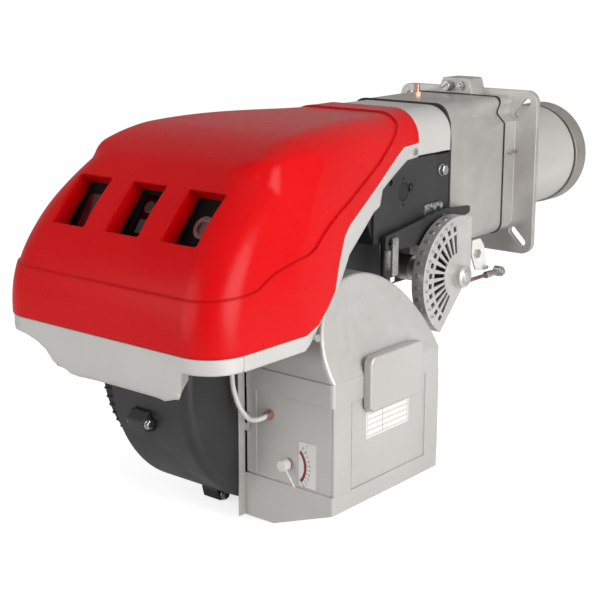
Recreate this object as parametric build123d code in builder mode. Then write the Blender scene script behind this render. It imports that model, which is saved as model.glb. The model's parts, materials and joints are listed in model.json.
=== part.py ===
"""Industrial gas burner: every piece as its own solid, in millimetres.

The origin is the centre of the boiler-side face of the mounting flange, on
the axis of the blast tube.  +Y runs into the boiler, +Z is up and +X is the
operator's side, where the air box and the adjusting cam are.
"""
from build123d import *
from math import cos, radians, sin, sqrt, tan
import os

os.makedirs("parts", exist_ok=True)

# ---------------------------------------------------------------- driving dimensions
# flange, collar and blast tube
FLANGE_SIZE = 268
FLANGE_THICK = 10
FLANGE_CORNER = 20
SLOT_CIRCLE = 150            # radius of the circle through the slot centres
SLOT_LENGTH = 39
SLOT_WIDTH = 14
TUBE_RADIUS = 86
TUBE_WALL = 2.5
TUBE_SEAT = 6
RING_RADIUS = 89.5
RING_START = 213
GAS_PIPE = 24
ELECTRODE_CIRCLE = 43
HEAD_LENGTH = 250

# gas sleeve, seen along the burner
BODY_TOP = 125
BODY_HALF = 95
BODY_BOTTOM = -97
BODY_WALL = 7
COLLAR_END = -44
GASKET_THICK = 2.5
SLEEVE_END = -200
DUCT_START = -205

# fan scroll
FAN_Y = -560
FAN_Z = -190
SCROLL_START = 138           # spiral radius at zero turn
SCROLL_RATE = 0.285          # growth in mm for each degree
SCROLL_LEFT = -80
SCROLL_SEAM = -25
SCROLL_RIGHT = 60
SCROLL_WALL = 5
SHOULDER = 14
WHEEL_RADIUS = 124
INLET_RADIUS = 70
SHAFT_RADIUS = 9.5
MOTOR_RADIUS = 92
MOTOR_END = -296

# duct from the fan to the sleeve
DUCT_SIDE = 100
DUCT_FRONT = -402
DUCT_FLOOR = -40
DUCT_SHOULDER = 54
DUCT_NECK = 86
DUCT_TOP = 92

# hood and its base
HOOD_REAR = -296
HOOD_FRONT = -841
HOOD_HALF = 197
HOOD_TOP = 126
HOOD_WALL = 3
HOOD_EDGE = -116
TRIM_EDGE = -137
BAND_RISE = 2.5
WINDOW_WIDTH = 62
WINDOW_HEIGHT = 79
WINDOW_PITCH = 99.5
WINDOW_DEPTH = 24

# air box
BOX_IN = 63
BOX_OUT = 215
BOX_FRONT = -640
BOX_REAR = -397
BOX_FLOOR = -404
BOX_TOP = -188
TRAY_TOP = -342
BOX_WALL = 3
DOME_PEAK = -68
DOME_LEAN = 0.415            # inward lean of the dome for each mm of height

# damper
DAMPER_X = 138
DAMPER_Z = -312
DAMPER_CRANK = 26
CRANK_LIFT = 31              # crank angle above level at low fire
DAMPER_SHAFT = 4

# cam, follower lever and rod
CAM_Y = -240
CAM_Z = -126
CAM_RADIUS = 91.5
CAM_FACE = 140
CAM_PLATE = 4
CAM_RIM_BACK = 119
CAM_RIM_WALL = 8
CAM_SCREWS = 12
STRIP_RADIUS = 76.4
STRIP_DROP = 4.8
STRIP_THICK = 1.2
LEVER_Y = -240
LEVER_Z = -38
LEVER_X = DUCT_SIDE + 7
LEVER_END = -372
SLOT_SHIFT = 3.4
ROD_X = 110
ROD_Y = -372

# gas valve
VALVE_Y = -95
VALVE_Z = -124
VALVE_BORE = 23
ELBOW_Z = -150
PIPE_BORE = 21
PIPE_END = -122
GAS_LEVER_X = 78
LINK_X = 99

# slide bars and running fits
BAR_RADIUS = 7
BAR_X = 68
BAR_Z = 68
BAR_END = -372
FIT = 0.06


# ---------------------------------------------------------------- planes and saving
def across(y):
    """Plane that looks along the burner at y; extruding goes towards the operator (-Y)."""
    return Plane(origin=(0, y, 0), x_dir=(1, 0, 0), z_dir=(0, -1, 0))


def beside(x):
    """Plane at x with its sketch axes along Y and Z; extruding goes to +X."""
    return Plane(origin=(x, 0, 0), x_dir=(0, 1, 0), z_dir=(1, 0, 0))


def save(piece, name):
    """Label one finished piece and write it as its own STEP file."""
    piece.part.label = name
    export_step(piece.part, f"parts/{name}.step")


def rod_between(start, end, radius):
    """Round rod from one point to the other, joined to the open part."""
    run = Vector(*end) - Vector(*start)
    with BuildSketch(Plane(origin=start, z_dir=run)) as end_face:
        Circle(radius)
    extrude(end_face.sketch, amount=run.length)


# ---------------------------------------------------------------- boiler side: flange and sleeve
def sleeve_outline(corner_half, neck_half, neck_z, side_z, radii, grow=0):
    """Half-mirrored outline of the sleeve: top, waisted shoulder, side and lower corner."""
    top = BODY_TOP + grow
    half = BODY_HALF + grow
    low = BODY_BOTTOM - grow
    right = [(0, top), (corner_half + grow, top), (neck_half + grow, neck_z), (half, side_z), (half, low), (0, low)]
    with BuildLine() as outline:
        FilletPolyline(right, radius=radii)
        mirror(about=Plane.YZ)
    make_face(outline.edges())


def front_outline(grow=0):
    sleeve_outline(90, 79, 99, 84, [10, 8, 6, 20], grow)


def rear_outline(grow=0):
    sleeve_outline(82, 93, 98, 66, [26, 14, 30, 20], grow)


def passage():
    """Air passage through the sleeve and the gaskets."""
    RectangleRounded(2 * (BODY_HALF - BODY_WALL) - 14, BODY_TOP - BODY_BOTTOM - 2 * BODY_WALL - 8, 22)


def bar_points():
    return Locations((-BAR_X, BAR_Z), (BAR_X, BAR_Z))


def make_boiler_flange():
    with BuildPart() as flange:
        with BuildSketch(across(0)):
            RectangleRounded(FLANGE_SIZE, FLANGE_SIZE, FLANGE_CORNER)
            with PolarLocations(SLOT_CIRCLE, 4, start_angle=45):
                SlotOverall(SLOT_LENGTH, SLOT_WIDTH, mode=Mode.SUBTRACT)
        extrude(amount=FLANGE_THICK)
        with BuildSketch(across(-FLANGE_THICK)):
            front_outline()
        extrude(amount=-COLLAR_END - FLANGE_THICK)
        with BuildSketch(across(0)):
            Circle(TUBE_RADIUS - TUBE_WALL)
        extrude(amount=-COLLAR_END, mode=Mode.SUBTRACT)
        with BuildSketch(across(0)):
            Circle(TUBE_RADIUS)
        extrude(amount=TUBE_SEAT, mode=Mode.SUBTRACT)
        rim = flange.edges().filter_by(GeomType.LINE).group_by(Axis.Y)[-1]
        chamfer(rim.filter_by(lambda edge: edge.length > SLOT_LENGTH * 2), 1)
    return flange


def make_gasket(outline, y, thick):
    with BuildPart() as gasket:
        with BuildSketch(across(y)):
            outline(1.5)
            with Locations((0, (BODY_TOP + BODY_BOTTOM) / 2)):
                passage_width = 2 * (BODY_HALF - BODY_WALL) - 14
                passage_height = BODY_TOP - BODY_BOTTOM - 2 * BODY_WALL - 8
                RectangleRounded(passage_width, passage_height, 22, mode=Mode.SUBTRACT)
            with bar_points():
                Circle(BAR_RADIUS + 0.5, mode=Mode.SUBTRACT)
        extrude(amount=thick)
    return gasket


def make_gas_sleeve():
    start = COLLAR_END - GASKET_THICK
    with BuildPart() as sleeve:
        with BuildSketch(across(start)):
            front_outline()
        with BuildSketch(across(SLEEVE_END)):
            rear_outline()
        loft()
        with BuildSketch(across(start)):
            with Locations((0, (BODY_TOP + BODY_BOTTOM) / 2)):
                passage()
        extrude(amount=start - SLEEVE_END, mode=Mode.SUBTRACT)
        with BuildSketch(across(SLEEVE_END)):
            with bar_points():
                Circle(BAR_RADIUS)
        extrude(amount=-24, mode=Mode.SUBTRACT)
        with BuildSketch(Plane.XY.offset(BODY_BOTTOM)):
            with Locations((0, VALVE_Y)):
                Circle(VALVE_BORE)
        extrude(amount=BODY_WALL + 8, mode=Mode.SUBTRACT)
    return sleeve


def make_blast_tube():
    with BuildPart() as tube:
        with BuildSketch(across(-TUBE_SEAT)):
            Circle(TUBE_RADIUS)
            Circle(TUBE_RADIUS - TUBE_WALL, mode=Mode.SUBTRACT)
        extrude(amount=-RING_START - TUBE_SEAT)
        with BuildSketch(across(RING_START)):
            Circle(TUBE_RADIUS - 1.5)
            Circle(TUBE_RADIUS - TUBE_WALL - 1, mode=Mode.SUBTRACT)
        extrude(amount=-16)
    return tube


def make_tube_end_ring():
    with BuildPart() as ring:
        with BuildSketch(Plane.XY) as section:
            with BuildLine():
                Polyline(
                    (TUBE_RADIUS - 1.5, RING_START + 2),
                    (RING_RADIUS, RING_START + 2),
                    (RING_RADIUS, HEAD_LENGTH),
                    (TUBE_RADIUS - 12, HEAD_LENGTH),
                    (TUBE_RADIUS - 12, HEAD_LENGTH - 3),
                    (TUBE_RADIUS - 1.5, HEAD_LENGTH - 10),
                    close=True,
                )
            make_face()
            fillet(section.vertices().sort_by_distance((RING_RADIUS, HEAD_LENGTH))[0], 2)
        revolve(axis=Axis.Y)
    return ring


def make_adjuster_block():
    """Cast block on the collar that carries the head adjusting screw."""
    with BuildPart() as block:
        with BuildSketch(across(-2)) as face:
            with BuildLine():
                Polyline((-38, BODY_TOP), (-26, 151), (23, 151), (31, BODY_TOP), close=True)
            make_face()
            fillet(face.vertices().group_by(Axis.Y)[-1], 4)
        extrude(amount=-COLLAR_END - 4)
        with BuildSketch(across(COLLAR_END + 2)):
            with Locations((-14, 138)):
                Circle(6 + FIT)
        extrude(amount=-30, mode=Mode.SUBTRACT)
        with BuildSketch(across(0)):
            Rectangle(2 * FLANGE_SIZE, FLANGE_SIZE)
        extrude(amount=FLANGE_THICK, mode=Mode.SUBTRACT)
    return block


def make_head_screw():
    """Slotted adjusting screw with its turned collar."""
    with BuildPart() as screw:
        with BuildSketch(across(-13)):
            with Locations((-14, 138)):
                Circle(6)
        extrude(amount=40)
        with BuildSketch(across(-43)):
            with Locations((-14, 138)):
                Circle(8.5)
        extrude(amount=13)
        with BuildSketch(across(-56)):
            with Locations((-14, 138)):
                Rectangle(17.5, 1.8, rotation=35)
        extrude(amount=-3, mode=Mode.SUBTRACT)
        fillet(screw.edges().filter_by(GeomType.CIRCLE).group_by(Axis.Y)[0], 0.8)
    return screw


def make_test_nipple():
    """Brass gas pressure test nipple with its hexagon and sealing screw."""
    with BuildPart() as nipple:
        with BuildSketch(Plane.XY.offset(BODY_TOP)):
            with Locations((-30, -112)):
                RegularPolygon(7, 6)
        extrude(amount=7)
        with BuildSketch(Plane.XY.offset(BODY_TOP + 7)):
            with Locations((-30, -112)):
                Circle(4.5)
        extrude(amount=12)
        fillet(nipple.edges().filter_by(GeomType.CIRCLE).group_by(Axis.Z)[-1], 1)
    return nipple


def make_slide_bars():
    with BuildPart() as bars:
        with BuildSketch(across(SLEEVE_END + 24)):
            with bar_points():
                Circle(BAR_RADIUS)
        extrude(amount=SLEEVE_END + 24 - BAR_END)
        chamfer(bars.edges().filter_by(GeomType.CIRCLE).group_by(Axis.Y)[0], 1)
    return bars


def make_collar_bolts():
    """Small bolts of the collar: one beside the head screw, one across its side."""
    with BuildPart() as bolts:
        with BuildSketch(across(COLLAR_END + 1.8)):
            with Locations((9, 139)):
                RegularPolygon(7.5, 6)
        extrude(amount=6)
        with BuildSketch(across(COLLAR_END - 4.2)):
            with Locations((9, 139)):
                Circle(4)
        extrude(amount=4)
        with BuildSketch(across(-FLANGE_THICK)):
            with Locations((BODY_HALF + 4.5, 35)):
                Circle(2.5)
        extrude(amount=24)
        with BuildSketch(beside(BODY_HALF)):
            with Locations((-31, 35)):
                Circle(4)
        extrude(amount=7)
    return bolts


# ---------------------------------------------------------------- gas valve and link
def make_gas_valve_body():
    """Butterfly housing under the sleeve, with its elbow to the gas inlet on the left."""
    with BuildPart() as body:
        with BuildSketch(Plane.XY.offset(BODY_BOTTOM)):
            with Locations((0, VALVE_Y)):
                RectangleRounded(78, 70, 10)
        extrude(amount=-7)
        with BuildSketch(Plane.XY.offset(BODY_BOTTOM)):
            with Locations((0, VALVE_Y)):
                Circle(VALVE_BORE + 6)
        extrude(amount=ELBOW_Z - BODY_BOTTOM)
        with BuildSketch(Plane(origin=(VALVE_BORE + 6, VALVE_Y, ELBOW_Z), z_dir=(-1, 0, 0))):
            Circle(PIPE_BORE + 5)
        extrude(amount=VALVE_BORE + 6 - PIPE_END)
        with BuildSketch(Plane(origin=(PIPE_END + 16, VALVE_Y, ELBOW_Z), z_dir=(-1, 0, 0))):
            RegularPolygon(PIPE_BORE + 12, 8)
        extrude(amount=16)
        with BuildSketch(beside(VALVE_BORE)):
            with Locations((VALVE_Y, VALVE_Z)):
                Circle(9)
        extrude(amount=26)
        with BuildSketch(Plane.XY.offset(BODY_BOTTOM)):
            with Locations((0, VALVE_Y)):
                Circle(VALVE_BORE)
        extrude(amount=ELBOW_Z - BODY_BOTTOM, mode=Mode.SUBTRACT)
        with BuildSketch(Plane(origin=(VALVE_BORE - 2, VALVE_Y, ELBOW_Z), z_dir=(-1, 0, 0))):
            Circle(PIPE_BORE)
        extrude(amount=VALVE_BORE + 6 - PIPE_END, mode=Mode.SUBTRACT)
        with BuildSketch(beside(-VALVE_BORE - 8)):
            with Locations((VALVE_Y, VALVE_Z)):
                Circle(4 + FIT)
        extrude(amount=80, mode=Mode.SUBTRACT)
    return body


def make_butterfly():
    """Throttle disc on its cross shaft, which carries the lever outside."""
    with BuildPart() as butterfly:
        with BuildSketch(beside(-VALVE_BORE - 4)):
            with Locations((VALVE_Y, VALVE_Z)):
                Circle(4)
        extrude(amount=GAS_LEVER_X + VALVE_BORE + 12)
        with BuildSketch(Plane(origin=(0, VALVE_Y, VALVE_Z), z_dir=(0, 0.26, 1))):
            Circle(VALVE_BORE - 2.5)
        extrude(amount=1.5, both=True)
    return butterfly


def make_gas_lever():
    """White lever plate that turns the butterfly."""
    with BuildPart() as lever:
        with BuildSketch(beside(GAS_LEVER_X)) as plate:
            with BuildLine():
                Polyline(
                    (-107, -101),
                    (-83, -101),
                    (-72, -113),
                    (-69, -120),
                    (-60, -158),
                    (-94, -152),
                    (-108, -124),
                    close=True,
                )
            make_face()
            fillet(plate.vertices(), 3)
            with Locations((VALVE_Y, VALVE_Z)):
                Circle(4, mode=Mode.SUBTRACT)
        extrude(amount=3)
    return lever


def make_gas_lever_screw():
    with BuildPart() as screw:
        with BuildSketch(beside(GAS_LEVER_X + 3)):
            with Locations((VALVE_Y, VALVE_Z)):
                RegularPolygon(7.5, 6)
                Circle(4, mode=Mode.SUBTRACT)
        extrude(amount=5)
        with BuildSketch(beside(GAS_LEVER_X + 3)):
            with Locations((-71, -150)):
                Circle(3)
        extrude(amount=8)
    return screw


def make_gas_link():
    """Copper-plated link rod with its lock nut and ball-joint socket."""
    with BuildPart() as link:
        rod_between((LINK_X, -196, -158), (LINK_X, -84, -158), 2.6)
        with BuildSketch(across(-76)):
            with Locations((LINK_X, -158)):
                Circle(5.5)
        extrude(amount=12)
        rod_between((LINK_X, -76, -158), (LINK_X, -62, -158), 4.5)
        rod_between((LINK_X - 6, -54, -158), (LINK_X + 7, -54, -158), 8.5)
        with BuildSketch(across(-88)):
            with Locations((LINK_X, -158)):
                RegularPolygon(6, 6)
        extrude(amount=5)
        with BuildSketch(beside(LINK_X + 7)):
            with Locations((-54, -158)):
                RegularPolygon(5.5, 6)
        extrude(amount=4)
    return link




# ---------------------------------------------------------------- combustion head inside the tube
def make_gas_distributor():
    """Central gas pipe with its ring of outlet holes."""
    with BuildPart() as pipe:
        with BuildSketch(across(-30)):
            Circle(GAS_PIPE)
        extrude(amount=-225)
        with BuildSketch(across(150)):
            Circle(33)
        extrude(amount=-45)
        with BuildSketch(across(-30)):
            Circle(21)
        extrude(amount=-222, mode=Mode.SUBTRACT)
        with BuildSketch(Plane.XY.offset(34)):
            with Locations((0, 180)):
                Circle(3)
        extrude(amount=-70, mode=Mode.SUBTRACT)
        with BuildSketch(Plane.YZ.offset(34)):
            with Locations((180, 0)):
                Circle(3)
        extrude(amount=-70, mode=Mode.SUBTRACT)
    return pipe


def make_flame_disk():
    """Flame-holding disk with swirl slots, on the gas pipe."""
    with BuildPart() as disk:
        with BuildSketch(across(199)):
            Circle(64)
            Circle(22, mode=Mode.SUBTRACT)
            with PolarLocations(44, 12):
                Rectangle(24, 3, rotation=25, mode=Mode.SUBTRACT)
            with PolarLocations(ELECTRODE_CIRCLE, 3, start_angle=60, angular_range=60):
                Circle(3, mode=Mode.SUBTRACT)
        extrude(amount=-2)
        with BuildSketch(across(201)):
            Circle(64)
            Circle(62, mode=Mode.SUBTRACT)
        extrude(amount=-8)
    return disk


def make_electrodes():
    """Ignition pair and ionisation probe in their ceramic sleeves, on a clamp round the pipe."""
    with BuildPart() as group:
        with BuildSketch(across(120)):
            Circle(ELECTRODE_CIRCLE - 2)
            Circle(GAS_PIPE + 0.1, mode=Mode.SUBTRACT)
        extrude(amount=-10)
        for turn in (60, 90, 120):
            x = ELECTRODE_CIRCLE * cos(radians(turn))
            z = ELECTRODE_CIRCLE * sin(radians(turn))
            rod_between((x, 60, z), (x, 186, z), 6.5)
            rod_between((x, 40, z), (x, 224, z), 1.5)
    return group


# ---------------------------------------------------------------- fan scroll and motor
def spiral_point(turn, inset=0):
    """Point of the scroll at a turn in degrees, counted from the boiler side over the top."""
    reach = SCROLL_START + SCROLL_RATE * turn - inset
    return (FAN_Y + reach * cos(radians(turn)), FAN_Z + reach * sin(radians(turn)))


def scroll_outline(inset=0):
    """Spiral from the top round the front and bottom to the back, closed by the upflow duct."""
    points = [spiral_point(turn, inset) for turn in range(90, 361, 30)]
    back_y = points[-1][0]
    with BuildLine() as outline:
        Spline(points, tangents=[(-1, 0), (0, 1)])
        FilletPolyline(points[-1], (back_y, points[0][1]), points[0], radius=24)
    make_face(outline.edges())


def scroll_shoulder(start, radius, way):
    """Rounded shoulder of the scroll: outlines that step inward on a quarter circle, lofted."""
    levels = []
    for step in (0, 0.35, 0.65, 0.88, 1):
        inset = radius * (1 - sqrt(1 - step * step))
        with BuildSketch(beside(start + way * radius * step), mode=Mode.PRIVATE) as level:
            scroll_outline(inset)
        levels.append(level.sketch.face())
    loft(levels)


def duct_outline():
    """The duct's side outline up to its shoulder."""
    with BuildLine() as outline:
        Polyline(
            (DUCT_START, DUCT_FLOOR),
            (DUCT_START, DUCT_SHOULDER),
            (DUCT_FRONT - 30, DUCT_SHOULDER),
            (DUCT_FRONT - 30, 30),
            (DUCT_FRONT + 4, DUCT_FLOOR - 20),
            (-322, DUCT_FLOOR - 20),
            (-300, DUCT_FLOOR),
            close=True,
        )
    make_face(outline.edges())


def make_fan_housing_right():
    """Right scroll half with the air duct that leads up and into the sleeve."""
    with BuildPart() as housing:
        with BuildSketch(beside(SCROLL_SEAM)):
            scroll_outline()
        extrude(amount=SCROLL_RIGHT - SHOULDER - SCROLL_SEAM)
        scroll_shoulder(SCROLL_RIGHT - SHOULDER, SHOULDER, 1)
        with BuildSketch(beside(-DUCT_SIDE + 8)):
            duct_outline()
        extrude(amount=2 * DUCT_SIDE - 12)
        with BuildSketch(across(DUCT_START)):
            with Locations((0, DUCT_SHOULDER)):
                RectangleRounded(2 * DUCT_NECK, 2 * (DUCT_TOP - DUCT_SHOULDER), 24)
        extrude(amount=DUCT_START - DUCT_FRONT + 30)
        with BuildSketch(beside(SCROLL_SEAM)):
            scroll_outline(SCROLL_WALL + 5)
        extrude(amount=SCROLL_RIGHT - SCROLL_SEAM - SCROLL_WALL, mode=Mode.SUBTRACT)
        with BuildSketch(beside(-DUCT_SIDE + 14)):
            with BuildLine():
                Polyline(
                    (DUCT_START, DUCT_FLOOR + 6),
                    (DUCT_START, DUCT_SHOULDER - 6),
                    (DUCT_FRONT - 24, DUCT_SHOULDER - 6),
                    (DUCT_FRONT - 24, DUCT_FLOOR + 6),
                    close=True,
                )
            make_face()
        extrude(amount=2 * DUCT_SIDE - 26, mode=Mode.SUBTRACT)
        with BuildSketch(Plane.XY.offset(DUCT_FLOOR - 24)):
            with Locations(((SCROLL_SEAM + SCROLL_RIGHT - SCROLL_WALL) / 2, -364)):
                Rectangle(SCROLL_RIGHT - SCROLL_SEAM - SCROLL_WALL, 72)
        extrude(amount=34, mode=Mode.SUBTRACT)
        with BuildSketch(beside(SCROLL_RIGHT - SCROLL_WALL - 1)):
            with Locations((FAN_Y, FAN_Z)):
                Circle(INLET_RADIUS)
        extrude(amount=SCROLL_WALL + 2, mode=Mode.SUBTRACT)
        with BuildSketch(across(DUCT_START)):
            with bar_points():
                Circle(BAR_RADIUS + FIT)
        extrude(amount=DUCT_START - BAR_END + 122, mode=Mode.SUBTRACT)
    return housing


def make_duct_side_plate():
    """Black side plate of the duct, with its sighting hole, slot and small fixing holes."""
    with BuildPart() as plate:
        with BuildSketch(beside(DUCT_SIDE - 4)) as face:
            with BuildLine():
                Polyline(
                    (-246, DUCT_FLOOR - 14),
                    (-246, 56),
                    (-372, 56),
                    (-402, 24),
                    (-402, -58),
                    (-318, -58),
                    (-300, DUCT_FLOOR - 14),
                    close=True,
                )
            make_face()
            fillet(face.vertices(), 5)
            with Locations((-330, 10)):
                Circle(14, mode=Mode.SUBTRACT)
            with Locations((-311, 14)):
                Circle(6, mode=Mode.SUBTRACT)
            with Locations((-320, 12)):
                Rectangle(14, 7, mode=Mode.SUBTRACT)
            with Locations((-362, 27)):
                Circle(5, mode=Mode.SUBTRACT)
            with Locations((-330, 29), (-330, -9)):
                Circle(2, mode=Mode.SUBTRACT)
        extrude(amount=4)
    return plate


def make_fan_housing_left():
    """Left scroll half, with the boss ring that takes the motor."""
    with BuildPart() as housing:
        with BuildSketch(beside(SCROLL_LEFT)):
            scroll_outline()
        extrude(amount=SCROLL_SEAM - SCROLL_LEFT)
        with BuildSketch(beside(SCROLL_LEFT + SCROLL_WALL)):
            scroll_outline(SCROLL_WALL)
        extrude(amount=SCROLL_SEAM - SCROLL_LEFT, mode=Mode.SUBTRACT)
        with BuildSketch(beside(-DUCT_SIDE + 8)):
            duct_outline()
        extrude(amount=2 * DUCT_SIDE, mode=Mode.SUBTRACT)
        with BuildSketch(beside(SCROLL_LEFT)):
            with Locations((FAN_Y, FAN_Z)):
                Circle(24)
        extrude(amount=SCROLL_WALL + 2, mode=Mode.SUBTRACT)
    return housing


def lug_turns():
    """Turns of the clamp lugs round the scroll seam."""
    return (200, 258, 312)


def make_housing_lugs():
    """Clamp lugs and bolts that hold the two scroll halves together."""
    with BuildPart() as lugs:
        for turn in lug_turns():
            y, z = spiral_point(turn, -8)
            out = Vector(0, cos(radians(turn)), sin(radians(turn)))
            lug_plane = Plane(origin=(SCROLL_SEAM - 15, y, z), x_dir=out, z_dir=(1, 0, 0))
            with BuildSketch(lug_plane) as lug:
                Trapezoid(34, 17, 62, rotation=-90)
                fillet(lug.vertices(), 2.5)
            extrude(amount=30)
            rod_between((SCROLL_SEAM - 22, y, z), (SCROLL_SEAM + 22, y, z), 4.5)
        with BuildSketch(beside(SCROLL_SEAM - 30)):
            scroll_outline(-0.4)
        extrude(amount=60, mode=Mode.SUBTRACT)
    return lugs


def make_motor_shield():
    """Ribbed cooling shield between the scroll and the motor."""
    with BuildPart() as shield:
        with BuildSketch(beside(SCROLL_LEFT - 24)):
            with Locations((FAN_Y, FAN_Z)):
                Circle(184)
                Circle(MOTOR_RADIUS + 12, mode=Mode.SUBTRACT)
            with Locations((FAN_Y + 120, FAN_Z + 150)):
                Rectangle(400, 200, mode=Mode.SUBTRACT)
        extrude(amount=23.5)
        with BuildSketch(beside(SCROLL_LEFT - 24)):
            with Locations((FAN_Y, FAN_Z)):
                with PolarLocations(183.5, 40, start_angle=150, angular_range=170):
                    Rectangle(5, 3)
        extrude(amount=20)
    return shield


def make_motor_body():
    """Finned motor barrel with its flange."""
    with BuildPart() as motor:
        with BuildSketch(beside(SCROLL_LEFT - 12)):
            with Locations((FAN_Y, FAN_Z)):
                Circle(MOTOR_RADIUS + 8)
                Circle(SHAFT_RADIUS + 3, mode=Mode.SUBTRACT)
        extrude(amount=12)
        with BuildSketch(beside(MOTOR_END + 46)):
            with Locations((FAN_Y, FAN_Z)):
                Circle(MOTOR_RADIUS - 8)
                with PolarLocations(MOTOR_RADIUS - 6, 28):
                    Rectangle(14, 3)
                Circle(SHAFT_RADIUS + 3, mode=Mode.SUBTRACT)
        extrude(amount=SCROLL_LEFT - 12 - MOTOR_END - 46)
    return motor


def make_motor_cowl():
    """Sheet cowl over the motor's own cooling fan, with its slotted end."""
    with BuildPart() as cowl:
        with BuildSketch(beside(MOTOR_END)):
            with Locations((FAN_Y, FAN_Z)):
                Circle(MOTOR_RADIUS + 2)
        extrude(amount=45.5)
        fillet(cowl.edges().filter_by(GeomType.CIRCLE).group_by(Axis.X)[0], 8)
        with BuildSketch(beside(MOTOR_END + 3)):
            with Locations((FAN_Y, FAN_Z)):
                Circle(MOTOR_RADIUS - 1)
        extrude(amount=45, mode=Mode.SUBTRACT)
        with BuildSketch(beside(MOTOR_END)):
            with Locations((FAN_Y, FAN_Z)):
                with PolarLocations(46, 16):
                    SlotOverall(52, 6)
        extrude(amount=4, mode=Mode.SUBTRACT)
    return cowl


def make_motor_shaft():
    """Motor shaft with the motor's own cooling fan on its tail."""
    with BuildPart() as shaft:
        with BuildSketch(beside(MOTOR_END + 14)):
            with Locations((FAN_Y, FAN_Z)):
                Circle(26)
                with PolarLocations(45, 7):
                    Rectangle(50, 4)
        extrude(amount=24)
        with BuildSketch(beside(MOTOR_END + 20)):
            with Locations((FAN_Y, FAN_Z)):
                Circle(SHAFT_RADIUS)
        extrude(amount=18 - MOTOR_END)
        chamfer(shaft.edges().filter_by(GeomType.CIRCLE).group_by(Axis.X)[-1], 1)
    return shaft


def make_impeller():
    """Fan wheel: back plate, hub, shroud ring and a ring of forward-leaning blades."""
    with BuildPart() as wheel:
        with BuildSketch(beside(-66)):
            with Locations((FAN_Y, FAN_Z)):
                Circle(WHEEL_RADIUS)
                Circle(SHAFT_RADIUS, mode=Mode.SUBTRACT)
        extrude(amount=3)
        with BuildSketch(beside(-63)):
            with Locations((FAN_Y, FAN_Z)):
                Circle(24)
                Circle(SHAFT_RADIUS, mode=Mode.SUBTRACT)
        extrude(amount=40)
        with BuildSketch(beside(36)):
            with Locations((FAN_Y, FAN_Z)):
                Circle(WHEEL_RADIUS)
                Circle(WHEEL_RADIUS - 26, mode=Mode.SUBTRACT)
        extrude(amount=3)
        with BuildSketch(beside(-64)):
            with Locations((FAN_Y, FAN_Z)):
                with PolarLocations(WHEEL_RADIUS - 14, 24):
                    Rectangle(24, 2.2, rotation=-35)
        extrude(amount=102)
    return wheel


# ---------------------------------------------------------------- hood and its base
def hood_section(y, half_top, half_low, top, shoulder, inset):
    """One cross-section of the hood: leaning sides and rounded shoulders."""
    with BuildSketch(across(y)) as section:
        with BuildLine():
            Polyline(
                (-half_low + inset, HOOD_EDGE - 60),
                (half_low - inset, HOOD_EDGE - 60),
                (half_top - inset, top - inset),
                (-half_top + inset, top - inset),
                close=True,
            )
        make_face()
        fillet(section.vertices().group_by(Axis.Y)[-1], shoulder - inset)
    return section.sketch.face()


def plan_section(z, half, front, corner, inset):
    """One level of the hood's front: straight sides and rounded front corners."""
    with BuildSketch(Plane.XY.offset(z)) as section:
        with BuildLine():
            Polyline(
                (-half + inset, front + inset),
                (half - inset, front + inset),
                (half - inset, HOOD_REAR + 60),
                (-half + inset, HOOD_REAR + 60),
                close=True,
            )
        make_face()
        fillet(section.vertices().group_by(Axis.Y)[0], corner - inset)
    return section.sketch.face()


def hood_form(inset=0):
    """The hood's full moulded form: a lofted back cut to shape by a lofted, leaning front."""
    with BuildPart(mode=Mode.PRIVATE) as form:
        stations = [
            hood_section(HOOD_REAR, 100, 100, BODY_TOP, 44, inset),
            hood_section(-430, 125, 146, HOOD_TOP, 46, inset),
            hood_section(-585, 160, 186, HOOD_TOP - 1, 48, inset),
            hood_section(-720, 178, 210, HOOD_TOP - 17, 50, inset),
            hood_section(HOOD_FRONT - 10, 180, 216, HOOD_TOP - 42, 50, inset),
        ]
        loft(stations)
    with BuildPart(mode=Mode.PRIVATE) as front:
        levels = [
            plan_section(HOOD_EDGE - 50, HOOD_HALF, HOOD_FRONT, 52, inset),
            plan_section(HOOD_EDGE + 6, HOOD_HALF, HOOD_FRONT, 52, inset),
            plan_section(-48, HOOD_HALF - 4, HOOD_FRONT + 9, 52, inset),
            plan_section(30, HOOD_HALF - 17, HOOD_FRONT + 59, 52, inset),
            plan_section(106, HOOD_HALF - 37, HOOD_FRONT + 115, 52, inset),
            plan_section(HOOD_TOP + 20, HOOD_HALF - 50, HOOD_FRONT + 144, 52, inset),
        ]
        loft(levels)
    return form.part & front.part


def hood_side_edge(gap=0):
    """Lower edge of the hood seen from the side, or the line that clears it by a gap."""
    edge = [
        (HOOD_REAR + 6, 79),
        (-346, 78),
        (-434, 41),
        (-541, 0),
        (-559, -11),
        (-604, -62),
        (-648, -106),
        (-676, HOOD_EDGE),
        (HOOD_FRONT - 30, HOOD_EDGE),
    ]
    return [(y + 0.7 * gap, z - gap) for y, z in edge]


def trim_side_edge():
    """Lower edge of the silver base seen from the side."""
    return [
        (HOOD_REAR + 6, 57),
        (-333, 57),
        (-425, 28),
        (-437, 7),
        (-460, 2),
        (-506, -20),
        (-545, -39),
        (-575, -70),
        (-644, -114),
        (-676, TRIM_EDGE),
        (HOOD_FRONT - 30, TRIM_EDGE),
    ]


def side_region(lower, upper):
    """Prism right across the burner between two side outlines."""
    with BuildPart(mode=Mode.PRIVATE) as region:
        with BuildSketch(beside(-260)):
            with BuildLine():
                Polyline(*lower, *reversed(upper), close=True)
            make_face()
        extrude(amount=520)
    return region.part


def above():
    """Everything above the hood's lower edge."""
    return side_region(hood_side_edge(), [(HOOD_REAR + 6, 200), (HOOD_FRONT - 30, 200)])


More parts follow.
